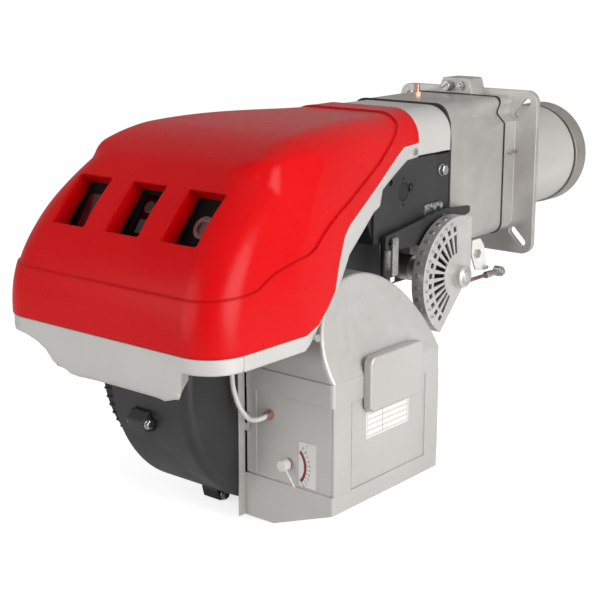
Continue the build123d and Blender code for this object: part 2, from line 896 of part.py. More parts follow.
def band_top():
    """Upper edge of the hood's raised border, seen from the side."""
    return [
        (-330, 200),
        (-345, 112),
        (-366, 99),
        (-432, 66),
        (-548, 26),
        (-640, 2),
        (-727, -28),
        (-760, -44),
        (HOOD_FRONT - 30, -52),
    ]


def window_plane(column, proud=0):
    """Plane on the leaning front at one of the three windows."""
    lean = Vector(0, -162, 113).normalized()
    centre = Vector(2 + (column - 1) * WINDOW_PITCH, -774, 37) + lean * proud
    return Plane(origin=centre, x_dir=(1, 0, 0), z_dir=lean)


def window_wells():
    """Thin walls that run inward round each window, before they are trimmed to the hood."""
    with BuildPart(mode=Mode.PRIVATE) as wells:
        for column in range(3):
            with BuildSketch(window_plane(column, 14)):
                RectangleRounded(WINDOW_WIDTH + 4, WINDOW_HEIGHT + 4, 6)
                RectangleRounded(WINDOW_WIDTH, WINDOW_HEIGHT, 4, mode=Mode.SUBTRACT)
            extrude(amount=-WINDOW_DEPTH - 14)
    return wells.part


def make_hood():
    """Moulded hood: thin shell, raised border and three deep windows."""
    outside = hood_form(0)
    inside = hood_form(HOOD_WALL)
    border = hood_form(-BAND_RISE)
    band = side_region(hood_side_edge(), [(HOOD_REAR + 6, 200)] + band_top())
    with BuildPart() as hood:
        add(outside)
        add(border & band)
        add(above(), mode=Mode.INTERSECT)
        for column in range(3):
            with BuildSketch(window_plane(column, 30)):
                RectangleRounded(WINDOW_WIDTH, WINDOW_HEIGHT, 4)
            extrude(amount=-70, mode=Mode.SUBTRACT)
        add(inside, mode=Mode.SUBTRACT)
        add(window_wells() & outside)
    return hood


def make_hood_base():
    """Silver moulded base under the hood's edge, with the chin in front."""
    outside = hood_form(-1)
    inside = hood_form(HOOD_WALL)
    strip = side_region(trim_side_edge(), hood_side_edge(1))
    with BuildPart() as base:
        add(outside)
        add(strip, mode=Mode.INTERSECT)
        add(inside, mode=Mode.SUBTRACT)
        with BuildSketch(across(HOOD_FRONT)) as chin:
            with BuildLine():
                Polyline(
                    (-176, HOOD_EDGE - 12),
                    (-158, HOOD_EDGE - 30),
                    (-104, -186),
                    (-62, -196),
                    (112, -196),
                    (140, -186),
                    (146, HOOD_EDGE - 12),
                    close=True,
                )
            make_face()
            fillet(chin.vertices().sort_by(Axis.Y)[0:5], 12)
        extrude(amount=-62, taper=8)
    return base


def make_rear_casing():
    """Silver casing over the duct, between the hood and the sleeve, stepped to sit under the hood."""
    with BuildPart() as casing:
        with BuildSketch(across(DUCT_START - 0.5)):
            rear_casing_outline(0)
        extrude(amount=DUCT_START - HOOD_REAR - 1)
        with BuildSketch(across(HOOD_REAR + 0.5)):
            rear_casing_outline(-4.5)
        extrude(amount=16)
        with BuildSketch(across(DUCT_START - 0.5)):
            rear_casing_outline(-7)
        extrude(amount=DUCT_START - HOOD_REAR + 22, mode=Mode.SUBTRACT)
    return casing


def rear_casing_outline(grow):
    """Inverted U: round shoulders, straight sides down to the duct's side plate."""
    half = 98 + grow
    top = BODY_TOP - 1 + grow
    low = DUCT_SHOULDER + 4 if grow > -5 else DUCT_FLOOR
    right = [(0, top), (half, top), (half, low), (0, low)]
    with BuildLine() as outline:
        FilletPolyline(right, radius=[42 + grow, 1])
        mirror(about=Plane.YZ)
    make_face(outline.edges())


def make_hood_screws():
    """Fixing screws of the hood, one pair at its waist and one at its foot."""
    with BuildPart() as screws:
        for side in (-1, 1):
            rod_between((side * 96, -308, 66), (side * 106, -308, 66), 5)
            rod_between((side * 192, -654, -124), (side * 201.5, -654, -124), 5)
    return screws


def make_control_panel():
    """Panel behind the windows: it carries the switches, the lens and the sight glass."""
    with BuildPart() as panel:
        with BuildSketch(window_plane(1, -HOOD_WALL - WINDOW_DEPTH - 2)):
            with Locations((0, -4)):
                Rectangle(280, 104)
            with Locations((0, 0)):
                RectangleRounded(40, 62, 4, mode=Mode.SUBTRACT)
        extrude(amount=-3)
        with BuildSketch(beside(-70)):
            with BuildLine():
                Polyline((-520, -20), (-776.5, -20), (-774.5, -17), (-520, -17), close=True)
            make_face()
        extrude(amount=120)
    return panel


def make_indicator_lens():
    """Dark red lens in its black frame, behind the left window."""
    with BuildPart() as lens:
        with BuildSketch(window_plane(0, -HOOD_WALL - WINDOW_DEPTH + 3)):
            with Locations((4, -6)):
                RectangleRounded(38, 50, 5)
        extrude(amount=-4.8)
    return lens


def make_sight_glass():
    """Round sight glass in its turned bezel, behind the right window."""
    with BuildPart() as glass:
        with BuildSketch(window_plane(2, -HOOD_WALL - WINDOW_DEPTH + 6)):
            with Locations((4, -4)):
                Circle(15)
        extrude(amount=-7.8)
        with BuildSketch(window_plane(2, -HOOD_WALL - WINDOW_DEPTH + 6)):
            with Locations((4, -4)):
                Circle(10)
        extrude(amount=-3, mode=Mode.SUBTRACT)
    return glass


def make_reset_button():
    """Lockout reset button in the middle window."""
    with BuildPart() as button:
        with BuildSketch(window_plane(1, -HOOD_WALL - WINDOW_DEPTH + 5)):
            with Locations((0, 12)):
                Circle(9)
        extrude(amount=-14)
        fillet(button.edges().filter_by(GeomType.CIRCLE).sort_by(Axis.Y)[0], 1.5)
    return button


def make_rocker_switch():
    """Rocker switch below the reset button."""
    with BuildPart() as rocker:
        with BuildSketch(window_plane(1, -HOOD_WALL - WINDOW_DEPTH - 10)):
            with Locations((0, -15)):
                Rectangle(16, 20)
        extrude(amount=14)
        fillet(rocker.edges().filter_by(Axis.X), 1.5)
        pivot = window_plane(1, -HOOD_WALL - WINDOW_DEPTH - 6).from_local_coords((0, -15, 0))
        rod_between((pivot.X - 9.5, pivot.Y, pivot.Z), (pivot.X + 9.5, pivot.Y, pivot.Z), 2.5)
    return rocker


def make_control_box():
    """Flame control box and terminal housing under the hood."""
    with BuildPart() as box:
        with BuildSketch(Plane.XY.offset(0)):
            with Locations((-20, -560)):
                RectangleRounded(210, 110, 6)
        extrude(amount=85)
        chamfer(box.edges().group_by(Axis.Z)[-1], 3)
        with BuildSketch(Plane.XY.offset(85)):
            with Locations((-20, -560)):
                RectangleRounded(120, 70, 6)
        extrude(amount=16)
    return box


# ---------------------------------------------------------------- air box
def box_plan(grow=0):
    """Level outline of the air box with rounded corners."""
    width = BOX_OUT - BOX_IN
    depth = BOX_REAR - BOX_FRONT
    with Locations(((BOX_IN + BOX_OUT) / 2, (BOX_FRONT + BOX_REAR) / 2)):
        RectangleRounded(width + 2 * grow, depth + 2 * grow, 5)


def make_air_box():
    """Upper air box: open inside, with recessed side panel and the damper's bearings."""
    with BuildPart() as box:
        with BuildSketch(Plane.XY.offset(TRAY_TOP)):
            box_plan(-2)
        extrude(amount=BOX_TOP - TRAY_TOP - 32)
        with BuildSketch(Plane.XY.offset(BOX_TOP - 32)):
            box_plan()
        extrude(amount=32)
        with BuildSketch(Plane.XY.offset(TRAY_TOP)):
            box_plan(-2 - BOX_WALL)
        extrude(amount=BOX_TOP - TRAY_TOP, mode=Mode.SUBTRACT)
        for start, end in ((BOX_FRONT + 2, -601), (-431, BOX_REAR - 2)):
            with BuildSketch(beside(BOX_OUT - 3)):
                with Locations(((start + end) / 2, (TRAY_TOP + BOX_TOP - 32) / 2)):
                    Rectangle(end - start, BOX_TOP - 32 - TRAY_TOP)
            extrude(amount=3)
        with BuildSketch(beside(BOX_OUT - 3)):
            with Locations((-599, (TRAY_TOP + BOX_TOP - 32) / 2)):
                Rectangle(3, BOX_TOP - 32 - TRAY_TOP)
        extrude(amount=3, mode=Mode.SUBTRACT)
        with BuildSketch(beside(BOX_IN)):
            with Locations((FAN_Y, FAN_Z - 10)):
                Circle(INLET_RADIUS)
        extrude(amount=8, mode=Mode.SUBTRACT)
        with BuildSketch(across(BOX_REAR + 2)):
            with Locations((DAMPER_X, DAMPER_Z)):
                Circle(DAMPER_SHAFT + FIT)
        extrude(amount=260, mode=Mode.SUBTRACT)
        with BuildSketch(across(BOX_FRONT + 6)):
            with Locations((106, -250)):
                Circle(7)
        extrude(amount=10, mode=Mode.SUBTRACT)
    return box


def make_air_tray():
    """Lower tray of the air box, with its beaded top edge and the bevelled floor."""
    with BuildPart() as tray:
        with BuildSketch(across(BOX_REAR)):
            with BuildLine():
                Polyline(
                    (BOX_IN, TRAY_TOP),
                    (BOX_OUT, TRAY_TOP),
                    (BOX_OUT, -367),
                    (113, BOX_FLOOR),
                    (BOX_IN, BOX_FLOOR),
                    close=True,
                )
            make_face()
        extrude(amount=BOX_REAR - BOX_FRONT)
        corners = tray.edges().filter_by(Axis.Z)
        fillet(corners.group_by(Axis.X)[-1], 4)
        with BuildSketch(across(BOX_REAR - BOX_WALL)):
            with BuildLine():
                Polyline(
                    (BOX_IN + BOX_WALL, TRAY_TOP),
                    (BOX_OUT - BOX_WALL, TRAY_TOP),
                    (BOX_OUT - BOX_WALL, -365),
                    (112, BOX_FLOOR + BOX_WALL),
                    (BOX_IN + BOX_WALL, BOX_FLOOR + BOX_WALL),
                    close=True,
                )
            make_face()
        extrude(amount=BOX_REAR - BOX_FRONT - 2 * BOX_WALL, mode=Mode.SUBTRACT)
    return tray


def dome_outline(inset=0):
    """Arched outline of the dome seen from the side."""
    with BuildLine() as outline:
        Spline(
            (BOX_FRONT + 1 + inset, BOX_TOP),
            (-628 + inset, -118),
            (-593 + inset * 0.8, -84 - inset * 0.6),
            (-533, DOME_PEAK - inset),
            (-470 - inset * 0.4, -84 - inset),
            (-425 - inset * 0.8, -125 - inset * 0.6),
            (BOX_REAR - 1 - inset, BOX_TOP),
        )
        Line((BOX_REAR - 1 - inset, BOX_TOP), (BOX_FRONT + 1 + inset, BOX_TOP))
    make_face(outline.edges())


def make_box_dome():
    """Sound-damped dome over the air intake: an arch whose outer face leans inward."""
    with BuildPart() as dome:
        with BuildSketch(beside(BOX_IN)):
            dome_outline()
        extrude(amount=BOX_OUT - BOX_IN)
        with BuildSketch(across(BOX_REAR + 5)):
            with BuildLine():
                reach = DOME_LEAN * (DOME_PEAK - BOX_TOP + 20)
                Polyline(
                    (BOX_OUT, BOX_TOP),
                    (BOX_OUT + 60, BOX_TOP),
                    (BOX_OUT + 60, DOME_PEAK + 20),
                    (BOX_OUT - reach, DOME_PEAK + 20),
                    close=True,
                )
            make_face()
        extrude(amount=BOX_REAR - BOX_FRONT + 10, mode=Mode.SUBTRACT)
        arch = dome.edges().filter_by(GeomType.BSPLINE).group_by(Axis.X)[-1]
        fillet(arch, 5)
        with BuildSketch(beside(BOX_IN + 0)):
            dome_outline(4)
        extrude(amount=100, mode=Mode.SUBTRACT)
    return dome


def make_side_cover():
    """Rounded cover screwed proud of the air box's side."""
    with BuildPart() as cover:
        with BuildSketch(beside(BOX_OUT - 8)):
            with Locations((-515, -202)):
                RectangleRounded(120, 76, 11)
        extrude(amount=20)
        fillet(cover.faces().sort_by(Axis.X)[-1].edges(), 3)
        with BuildSketch(Plane.XY.offset(BOX_TOP)):
            box_plan(0.3)
        extrude(amount=-80, mode=Mode.SUBTRACT)
        with BuildSketch(beside(BOX_OUT - 30)):
            with Locations((-515, -160)):
                Rectangle(160, 56)
        extrude(amount=30.3, mode=Mode.SUBTRACT)
    return cover


def make_edge_strip():
    """Vertical flange strip between the air box and the fan, with its hose clip."""
    with BuildPart() as strip:
        with BuildSketch(across(BOX_FRONT + 2)):
            with Locations((BOX_IN - 1.2, -285)):
                Rectangle(2.4, 236)
        extrude(amount=14)
        with BuildSketch(across(BOX_FRONT + 2)):
            with Locations((BOX_IN + 3, -268)):
                RectangleRounded(11, 26, 3)
                Circle(3, mode=Mode.SUBTRACT)
        extrude(amount=3)
        with BuildSketch(Plane.XY.offset(-400)):
            with Locations((BOX_IN + 20, BOX_FRONT + 4)):
                Rectangle(60, 8)
        extrude(amount=220, mode=Mode.SUBTRACT)
    return strip


def make_rating_plate():
    """Bare rating plate on the side panel."""
    with BuildPart() as plate:
        with BuildSketch(beside(BOX_OUT - 2)):
            with Locations((-519, -262)):
                RectangleRounded(98, 37, 1)
        extrude(amount=0.6)
    return plate


def make_scale_plate():
    """Plate beside the damper pointer that carries the opening scale."""
    with BuildPart() as plate:
        with BuildSketch(across(BOX_FRONT + 2)):
            with Locations((171, -307)):
                Rectangle(28, 62)
                with Locations((0, 27), (0, -27)):
                    Circle(1.2, mode=Mode.SUBTRACT)
        extrude(amount=0.8)
    return plate


# ---------------------------------------------------------------- damper
def make_damper_flap():
    with BuildPart() as flap:
        with BuildSketch(across(BOX_REAR - 12)):
            with Locations((DAMPER_X, DAMPER_Z)):
                Rectangle(60, 2.5, rotation=40)
                Circle(6)
                Circle(DAMPER_SHAFT, mode=Mode.SUBTRACT)
        extrude(amount=BOX_REAR - BOX_FRONT - 24)
    return flap


def make_damper_shaft():
    """Damper shaft with the crank on its boiler-side end."""
    with BuildPart() as shaft:
        with BuildSketch(across(ROD_Y - 6)):
            with Locations((DAMPER_X, DAMPER_Z)):
                Circle(DAMPER_SHAFT)
        extrude(amount=ROD_Y - 6 - BOX_FRONT + 7.9)
        with BuildSketch(across(ROD_Y - 6)):
            with Locations((DAMPER_X, DAMPER_Z)):
                Circle(8)
                with PolarLocations(DAMPER_CRANK / 2, 1, start_angle=180 - CRANK_LIFT):
                    SlotOverall(DAMPER_CRANK + 10, 10)
        extrude(amount=4)
    return shaft


def make_damper_pointer():
    """White turned knob with its thin pointer wire, at the scale plate."""
    with BuildPart() as pointer:
        with BuildSketch(across(BOX_FRONT - 1)):
            with Locations((DAMPER_X, DAMPER_Z)):
                Circle(7.5)
                Circle(DAMPER_SHAFT, mode=Mode.SUBTRACT)
        extrude(amount=7)
        with BuildSketch(across(BOX_FRONT - 8)):
            with Locations((DAMPER_X, DAMPER_Z)):
                Circle(7.5)
        extrude(amount=5)
        rod_between((DAMPER_X, BOX_FRONT - 8, DAMPER_Z), (DAMPER_X + 19, BOX_FRONT - 8, DAMPER_Z - 26), 1.2)
    return pointer


# ---------------------------------------------------------------- cam drive
def make_cam():
    """Graduated cam sector: slotted face, deep rim and turned hub in one piece."""
    with BuildPart() as cam:
        with BuildSketch(beside(CAM_FACE - CAM_PLATE)):
            cam_sector(CAM_RADIUS)
            with Locations((CAM_Y, CAM_Z)):
                with PolarLocations(55, 11, start_angle=100, angular_range=132):
                    Rectangle(36, 5.4, mode=Mode.SUBTRACT)
        extrude(amount=CAM_PLATE)
        with BuildSketch(beside(CAM_RIM_BACK)):
            cam_sector(CAM_RADIUS)
            with Locations((CAM_Y, CAM_Z)):
                Circle(CAM_RADIUS - CAM_RIM_WALL, mode=Mode.SUBTRACT)
        extrude(amount=CAM_FACE - CAM_PLATE - CAM_RIM_BACK)
        with BuildSketch(beside(CAM_FACE - 22)):
            with Locations((CAM_Y, CAM_Z)):
                Circle(17)
        extrude(amount=37)
        with BuildSketch(beside(CAM_FACE + 15)):
            with Locations((CAM_Y, CAM_Z)):
                Circle(9)
        extrude(amount=2)
        fillet(cam.edges().filter_by(GeomType.CIRCLE).filter_by(lambda edge: edge.radius == 17)[-1], 1.5)
        with BuildSketch(beside(CAM_FACE - 22)):
            with Locations((CAM_Y, CAM_Z)):
                Circle(8)
        extrude(amount=30, mode=Mode.SUBTRACT)
    return cam


def cam_sector(radius):
    """Sector of the cam: an upright edge above the hub, a slanting one below it."""
    with Locations((CAM_Y, CAM_Z)):
        Circle(radius)
    with Locations((CAM_Y + 36 + 60, CAM_Z)):
        Rectangle(120, 220, mode=Mode.SUBTRACT)
    with BuildLine() as cut:
        Polyline(
            (CAM_Y + 60, CAM_Z + 16),
            (CAM_Y + 20, CAM_Z - 16),
            (CAM_Y - 54, CAM_Z - 90),
            (CAM_Y + 60, CAM_Z - 110),
            close=True,
        )
    make_face(cut.edges(), mode=Mode.SUBTRACT)


def cam_screw_turns():
    return [104 + step * 11.3 for step in range(CAM_SCREWS)]


def make_cam_screws():
    """Grub screws that set the cam profile, radially in the rim, and their clamp screws in the face."""
    with BuildPart() as screws:
        for turn in cam_screw_turns():
            out = Vector(0, cos(radians(turn)), sin(radians(turn)))
            centre = Vector(128.5, CAM_Y, CAM_Z) + out * (CAM_RADIUS - 0.2)
            with BuildSketch(Plane(origin=centre, z_dir=out)):
                Circle(3.4)
                Rectangle(4.6, 1, mode=Mode.SUBTRACT)
            extrude(amount=1.2)
        with BuildSketch(beside(CAM_FACE)):
            with Locations((CAM_Y, CAM_Z)):
                with PolarLocations(CAM_RADIUS - 7.5, CAM_SCREWS, start_angle=104, angular_range=124):
                    Circle(2.4)
        extrude(amount=1.6)
    return screws


def make_cam_strip():
    """Spring-steel strip inside the rim: its radius falls by the roller's travel over a quarter turn."""
    turns = range(84, 217, 22)
    outer = [strip_point(turn, 0) for turn in turns]
    inner = [strip_point(turn, STRIP_THICK) for turn in turns]
    with BuildPart() as strip:
        with BuildSketch(beside(LEVER_X + 6.8)):
            with BuildLine():
                Spline(outer)
                Line(outer[-1], inner[-1])
                Spline(inner)
                Line(inner[0], outer[0])
            make_face()
        extrude(amount=CAM_FACE - CAM_PLATE - LEVER_X - 6.8)
    return strip


def strip_point(turn, inset):
    """Point of the cam strip at a turn in degrees from the boiler side."""
    reach = STRIP_RADIUS - STRIP_DROP * max(0, turn - 106) / 90 - inset
    return (CAM_Y + reach * cos(radians(turn)), CAM_Z + reach * sin(radians(turn)))


def make_cam_shaft():
    with BuildPart() as shaft:
        with BuildSketch(beside(30)):
            with Locations((CAM_Y, CAM_Z)):
                Circle(8)
        extrude(amount=CAM_FACE + 8 - 30)
    return shaft


def make_servomotor():
    """Servomotor body below the duct, with its silver output bearing."""
    with BuildPart() as servo:
        with BuildSketch(beside(-78)):
            with Locations((-252, -108)):
                RectangleRounded(74, 86, 8)
        extrude(amount=112)
        with BuildSketch(Plane.XY.offset(-66)):
            with Locations((-20, -262)):
                Rectangle(50, 40)
        extrude(amount=26)
        with BuildSketch(beside(20)):
            with Locations((CAM_Y, CAM_Z)):
                Circle(8.3)
        extrude(amount=20, mode=Mode.SUBTRACT)
    return servo


def make_cam_bearing():
    """Turned bearing housing on the cam shaft, in front of the servomotor."""
    with BuildPart() as bearing:
        with BuildSketch(beside(34)):
            with Locations((CAM_Y, CAM_Z)):
                Circle(20)
                Circle(8 + FIT, mode=Mode.SUBTRACT)
        extrude(amount=26)
        with BuildSketch(beside(60)):
            with Locations((CAM_Y, CAM_Z)):
                Circle(14)
                Circle(8 + FIT, mode=Mode.SUBTRACT)
        extrude(amount=44)
        chamfer(bearing.faces().sort_by(Axis.X)[-1].edges(), 0.6)
    return bearing


def make_follower_lever():
    """Black follower lever: slotted for the rod's pin in front, with its roller beside the cam strip."""
    with BuildPart() as lever:
        with BuildSketch(beside(LEVER_X)) as arm:
            with BuildLine():
                Polyline(
                    (LEVER_END - 18, -47),
                    (LEVER_END - 18, -68),
                    (-320, -72),
                    (-240, -56),
                    (-168, -42),
                    (-168, -31),
                    (-240, -27),
                    close=True,
                )
            make_face()
            fillet(arm.vertices(), 4)
            with Locations((LEVER_Y, LEVER_Z)):
                Circle(5 + FIT, mode=Mode.SUBTRACT)
            with Locations((LEVER_END - SLOT_SHIFT, -57)):
                SlotOverall(2 * SLOT_SHIFT + 10, 8.4, mode=Mode.SUBTRACT)
        extrude(amount=6)
        rod_between((LEVER_X + 6, -262, -47), (LEVER_X + 6.8, -262, -47), 3)
        rod_between((LEVER_X + 6.8, -262, -47), (CAM_RIM_BACK - 1, -262, -47), 5)
    return lever


def make_lever_bracket():
    """Pivot stud of the follower lever, with its nuts, on a bracket beside the duct."""
    with BuildPart() as bracket:
        with BuildSketch(beside(DUCT_SIDE)):
            with Locations((LEVER_Y - 14, LEVER_Z + 6)):
                RectangleRounded(46, 30, 4)
        extrude(amount=2.6)
        rod_between((DUCT_SIDE, LEVER_Y, LEVER_Z), (LEVER_X + 6.5, LEVER_Y, LEVER_Z), 5)
        with BuildSketch(beside(DUCT_SIDE + 2.6)):
            with Locations((LEVER_Y - 16, LEVER_Z + 16), (LEVER_Y + 1, LEVER_Z + 16)):
                RegularPolygon(5, 6)
        extrude(amount=4)
    return bracket


def make_tie_rod():
    """Upright rod with its forked clevis, pin and lock nut, from the follower lever to the damper crank."""
    with BuildPart() as rod:
        with BuildSketch(across(ROD_Y + 7)):
            with Locations((ROD_X, -79)):
                RectangleRounded(16, 58, 3)
            with Locations((ROD_X, -70)):
                Rectangle(9, 56, mode=Mode.SUBTRACT)
        extrude(amount=14)
        rod_between((ROD_X - 10, ROD_Y, -57), (ROD_X + 10, ROD_Y, -57), 3)
        with BuildSketch(Plane.XY.offset(-115)):
            with Locations((ROD_X, ROD_Y)):
                RegularPolygon(6.5, 6)
        extrude(amount=7)
        rod_between((ROD_X, ROD_Y, -110), (ROD_X, ROD_Y, DAMPER_Z + 30), 3)
        with BuildSketch(across(ROD_Y + 3)):
            with Locations((ROD_X, DAMPER_Z + 14)):
                RectangleRounded(11, 38, 4)
        extrude(amount=6)
    return rod


def make_side_bolt():
    """Hexagon bolt with its washer that locks the burner to the slide bar."""
    with BuildPart() as bolt:
        with BuildSketch(beside(DUCT_SIDE - 4)):
            with Locations((-226, 30)):
                Circle(9)
        extrude(amount=2)
        with BuildSketch(beside(DUCT_SIDE - 2)):
            with Locations((-226, 30)):
                RegularPolygon(8.2, 6)
        extrude(amount=7)
        chamfer(bolt.faces().sort_by(Axis.X)[-1].edges(), 1)
    return bolt


# ---------------------------------------------------------------- sensing hose
HOSE_RADIUS = 3.4
HOSE_ROUTE = [
    (67, -671, -126),
    (67, -671, -172),
    (68, -669, -212),
    (75, -665, -240),
    (90, -661, -256),
    (103, -654, -254),
    (106, -641.2, -250),
]


def bend_radii(route, most=60):
    """Bend radius at each inner point: 0.45 of the shorter run over tan of half the turn."""
    radii = []
    for before, here, after in zip(route, route[1:], route[2:]):
        first = Vector(*here) - Vector(*before)
        second = Vector(*after) - Vector(*here)
        half_turn = radians(first.get_angle(second)) / 2
        shorter = min(first.length, second.length)
        radii.append(min(most, 0.45 * shorter / tan(half_turn)))
    return radii


def make_air_hose():
    """Pressure sensing hose from under the hood to the air box."""
    radii = bend_radii(HOSE_ROUTE)
    print("hose bend radii:", [round(radius, 1) for radius in radii])
    with BuildPart() as hose:
        with BuildLine() as path:
            FilletPolyline(HOSE_ROUTE, radius=radii)
        start = Vector(*HOSE_ROUTE[0])
        with BuildSketch(Plane(origin=start, z_dir=Vector(*HOSE_ROUTE[1]) - start)):
            Circle(HOSE_RADIUS)
        sweep(path=path.wires()[0], transition=Transition.RIGHT)
    return hose


def make_hose_fitting():
    """Brass hose nozzle in the air box's front wall, with the ferrule round the hose."""
    with BuildPart() as fitting:
        with BuildSketch(across(BOX_FRONT + 8)):
            with Locations((106, -250)):
                Circle(6.8)
        extrude(amount=9)
        with BuildSketch(across(BOX_FRONT - 1)):
            with Locations((106, -250)):
                Circle(5.4)
                Circle(HOSE_RADIUS + 0.8, mode=Mode.SUBTRACT)
        extrude(amount=5)
    return fitting


# ---------------------------------------------------------------- all pieces
PIECES = {
    "boiler_flange": make_boiler_flange,
    "flange_gasket": lambda: make_gasket(front_outline, COLLAR_END, GASKET_THICK),
    "gas_sleeve": make_gas_sleeve,
    "sleeve_gasket": lambda: make_gasket(rear_outline, SLEEVE_END, -DUCT_START + SLEEVE_END - 0.4),
    "blast_tube": make_blast_tube,
    "tube_end_ring": make_tube_end_ring,
    "adjuster_block": make_adjuster_block,
    "head_screw": make_head_screw,
    "test_nipple": make_test_nipple,
    "slide_bars": make_slide_bars,
    "collar_bolts": make_collar_bolts,
    "gas_valve_body": make_gas_valve_body,
    "butterfly": make_butterfly,
    "gas_lever": make_gas_lever,
    "gas_lever_screw": make_gas_lever_screw,
    "gas_link": make_gas_link,
    "gas_distributor": make_gas_distributor,
    "flame_disk": make_flame_disk,
    "electrodes": make_electrodes,
    "fan_housing_right": make_fan_housing_right,
    "fan_housing_left": make_fan_housing_left,
    "duct_side_plate": make_duct_side_plate,
    "housing_lugs": make_housing_lugs,
    "motor_shield": make_motor_shield,
    "motor_body": make_motor_body,
    "motor_cowl": make_motor_cowl,
    "motor_shaft": make_motor_shaft,
    "impeller": make_impeller,
    "hood": make_hood,
    "hood_base": make_hood_base,
    "rear_casing": make_rear_casing,
    "hood_screws": make_hood_screws,
    "control_panel": make_control_panel,
    "control_box": make_control_box,
    "indicator_lens": make_indicator_lens,
    "sight_glass": make_sight_glass,
    "reset_button": make_reset_button,
    "rocker_switch": make_rocker_switch,
    "air_box": make_air_box,
    "air_tray": make_air_tray,
    "box_dome": make_box_dome,
    "side_cover": make_side_cover,
    "edge_strip": make_edge_strip,
    "rating_plate": make_rating_plate,
    "scale_plate": make_scale_plate,
    "damper_flap": make_damper_flap,
    "damper_shaft": make_damper_shaft,
    "damper_pointer": make_damper_pointer,
    "cam": make_cam,
    "cam_screws": make_cam_screws,
    "cam_strip": make_cam_strip,
    "cam_shaft": make_cam_shaft,
    "servomotor": make_servomotor,
    "cam_bearing": make_cam_bearing,
    "follower_lever": make_follower_lever,
    "lever_bracket": make_lever_bracket,
    "tie_rod": make_tie_rod,
    "side_bolt": make_side_bolt,
    "air_hose": make_air_hose,
    "hose_fitting": make_hose_fitting,
}

for name, make_piece in PIECES.items():
    save(make_piece(), name)
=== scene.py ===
"""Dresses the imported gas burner.

It gives every piece its finish, softens the hood and its base, and adds the cam face, small fittings,
scale marks, studio and camera.
"""

from __future__ import annotations

import json
import logging
import math
from dataclasses import dataclass, field
from enum import Enum

import bmesh
import bpy
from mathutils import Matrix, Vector

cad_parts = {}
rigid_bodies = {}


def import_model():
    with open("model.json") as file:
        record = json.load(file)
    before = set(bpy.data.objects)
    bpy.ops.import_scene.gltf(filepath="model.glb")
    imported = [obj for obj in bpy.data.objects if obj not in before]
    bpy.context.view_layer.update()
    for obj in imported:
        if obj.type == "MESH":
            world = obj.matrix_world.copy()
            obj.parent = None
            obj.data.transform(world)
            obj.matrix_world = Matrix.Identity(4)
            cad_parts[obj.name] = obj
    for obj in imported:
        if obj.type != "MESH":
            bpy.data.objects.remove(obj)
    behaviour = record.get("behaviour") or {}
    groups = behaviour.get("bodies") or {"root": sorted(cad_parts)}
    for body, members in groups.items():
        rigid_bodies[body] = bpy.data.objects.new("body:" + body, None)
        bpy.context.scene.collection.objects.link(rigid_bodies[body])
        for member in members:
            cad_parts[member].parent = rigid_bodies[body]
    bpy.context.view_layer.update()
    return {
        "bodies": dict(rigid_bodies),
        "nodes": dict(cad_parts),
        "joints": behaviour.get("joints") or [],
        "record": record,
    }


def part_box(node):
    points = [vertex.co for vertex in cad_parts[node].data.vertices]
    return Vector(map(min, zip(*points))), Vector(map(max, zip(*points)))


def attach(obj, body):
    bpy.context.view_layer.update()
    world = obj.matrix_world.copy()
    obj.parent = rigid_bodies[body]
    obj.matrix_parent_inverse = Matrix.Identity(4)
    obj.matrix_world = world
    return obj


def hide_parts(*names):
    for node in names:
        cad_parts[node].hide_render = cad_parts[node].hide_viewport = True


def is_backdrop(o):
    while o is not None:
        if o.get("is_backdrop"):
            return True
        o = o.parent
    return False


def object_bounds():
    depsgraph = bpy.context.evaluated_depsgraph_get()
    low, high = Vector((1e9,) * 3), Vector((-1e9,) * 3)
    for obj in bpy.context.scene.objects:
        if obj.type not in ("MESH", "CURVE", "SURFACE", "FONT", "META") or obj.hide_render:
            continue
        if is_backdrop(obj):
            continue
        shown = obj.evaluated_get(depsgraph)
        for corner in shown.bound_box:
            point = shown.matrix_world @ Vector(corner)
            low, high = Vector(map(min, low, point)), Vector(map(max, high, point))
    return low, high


LOG = logging.getLogger("burner")
Colour = tuple[float, float, float]
DUST_TONE = (0.42, 0.40, 0.37)
LEAST_ROUGHNESS = 0.02
# Reach of the edge tone's mask beyond the bevel; on most finishes that edge tone is a painted highlight.
EDGE_WEAR_AND_HIGHLIGHT_REACH = 1.6


class Grain(Enum):
    """Direction in which a finish's grain is drawn out, as the scale of its coordinates."""

    EVEN = (1.0, 1.0, 1.0)
    ALONG_TUBE = (1.0, 0.03, 1.0)
    ROUND_TUBE = (0.2, 6.0, 0.2)


class ShaderGroup:
    """A shader node group with named inputs and outputs."""

    def __init__(self, name: str) -> None:
        """Starts an empty group.

        Args:
            name: name of the group.
        """
        self.tree = bpy.data.node_groups.new(name, "ShaderNodeTree")
        self.inlet = self.tree.nodes.new("NodeGroupInput")
        self.outlet = self.tree.nodes.new("NodeGroupOutput")

    def add_input(self, name: str, kind: str, value: object) -> None:
        """Adds an input socket.

        Args:
            name: label of the socket.
            kind: socket type, such as NodeSocketFloat.
            value: its default value.
        """
        socket = self.tree.interface.new_socket(name=name, in_out="INPUT", socket_type=kind)
        socket.default_value = value

    def add_output(self, name: str, kind: str) -> None:
        """Adds an output socket of the given kind."""
        self.tree.interface.new_socket(name=name, in_out="OUTPUT", socket_type=kind)

    def node(self, kind: str, **settings: object) -> bpy.types.Node:
        """Adds a node.

        Args:
            kind: type of the node.
            **settings: attributes to set on it.

        Returns:
            The new node.
        """
        made = self.tree.nodes.new(kind)
        for name, value in settings.items():
            setattr(made, name, value)
        return made

    def join(self, source: bpy.types.NodeSocket, target: bpy.types.NodeSocket) -> None:
        """Links one socket to another."""
        self.tree.links.new(source, target)


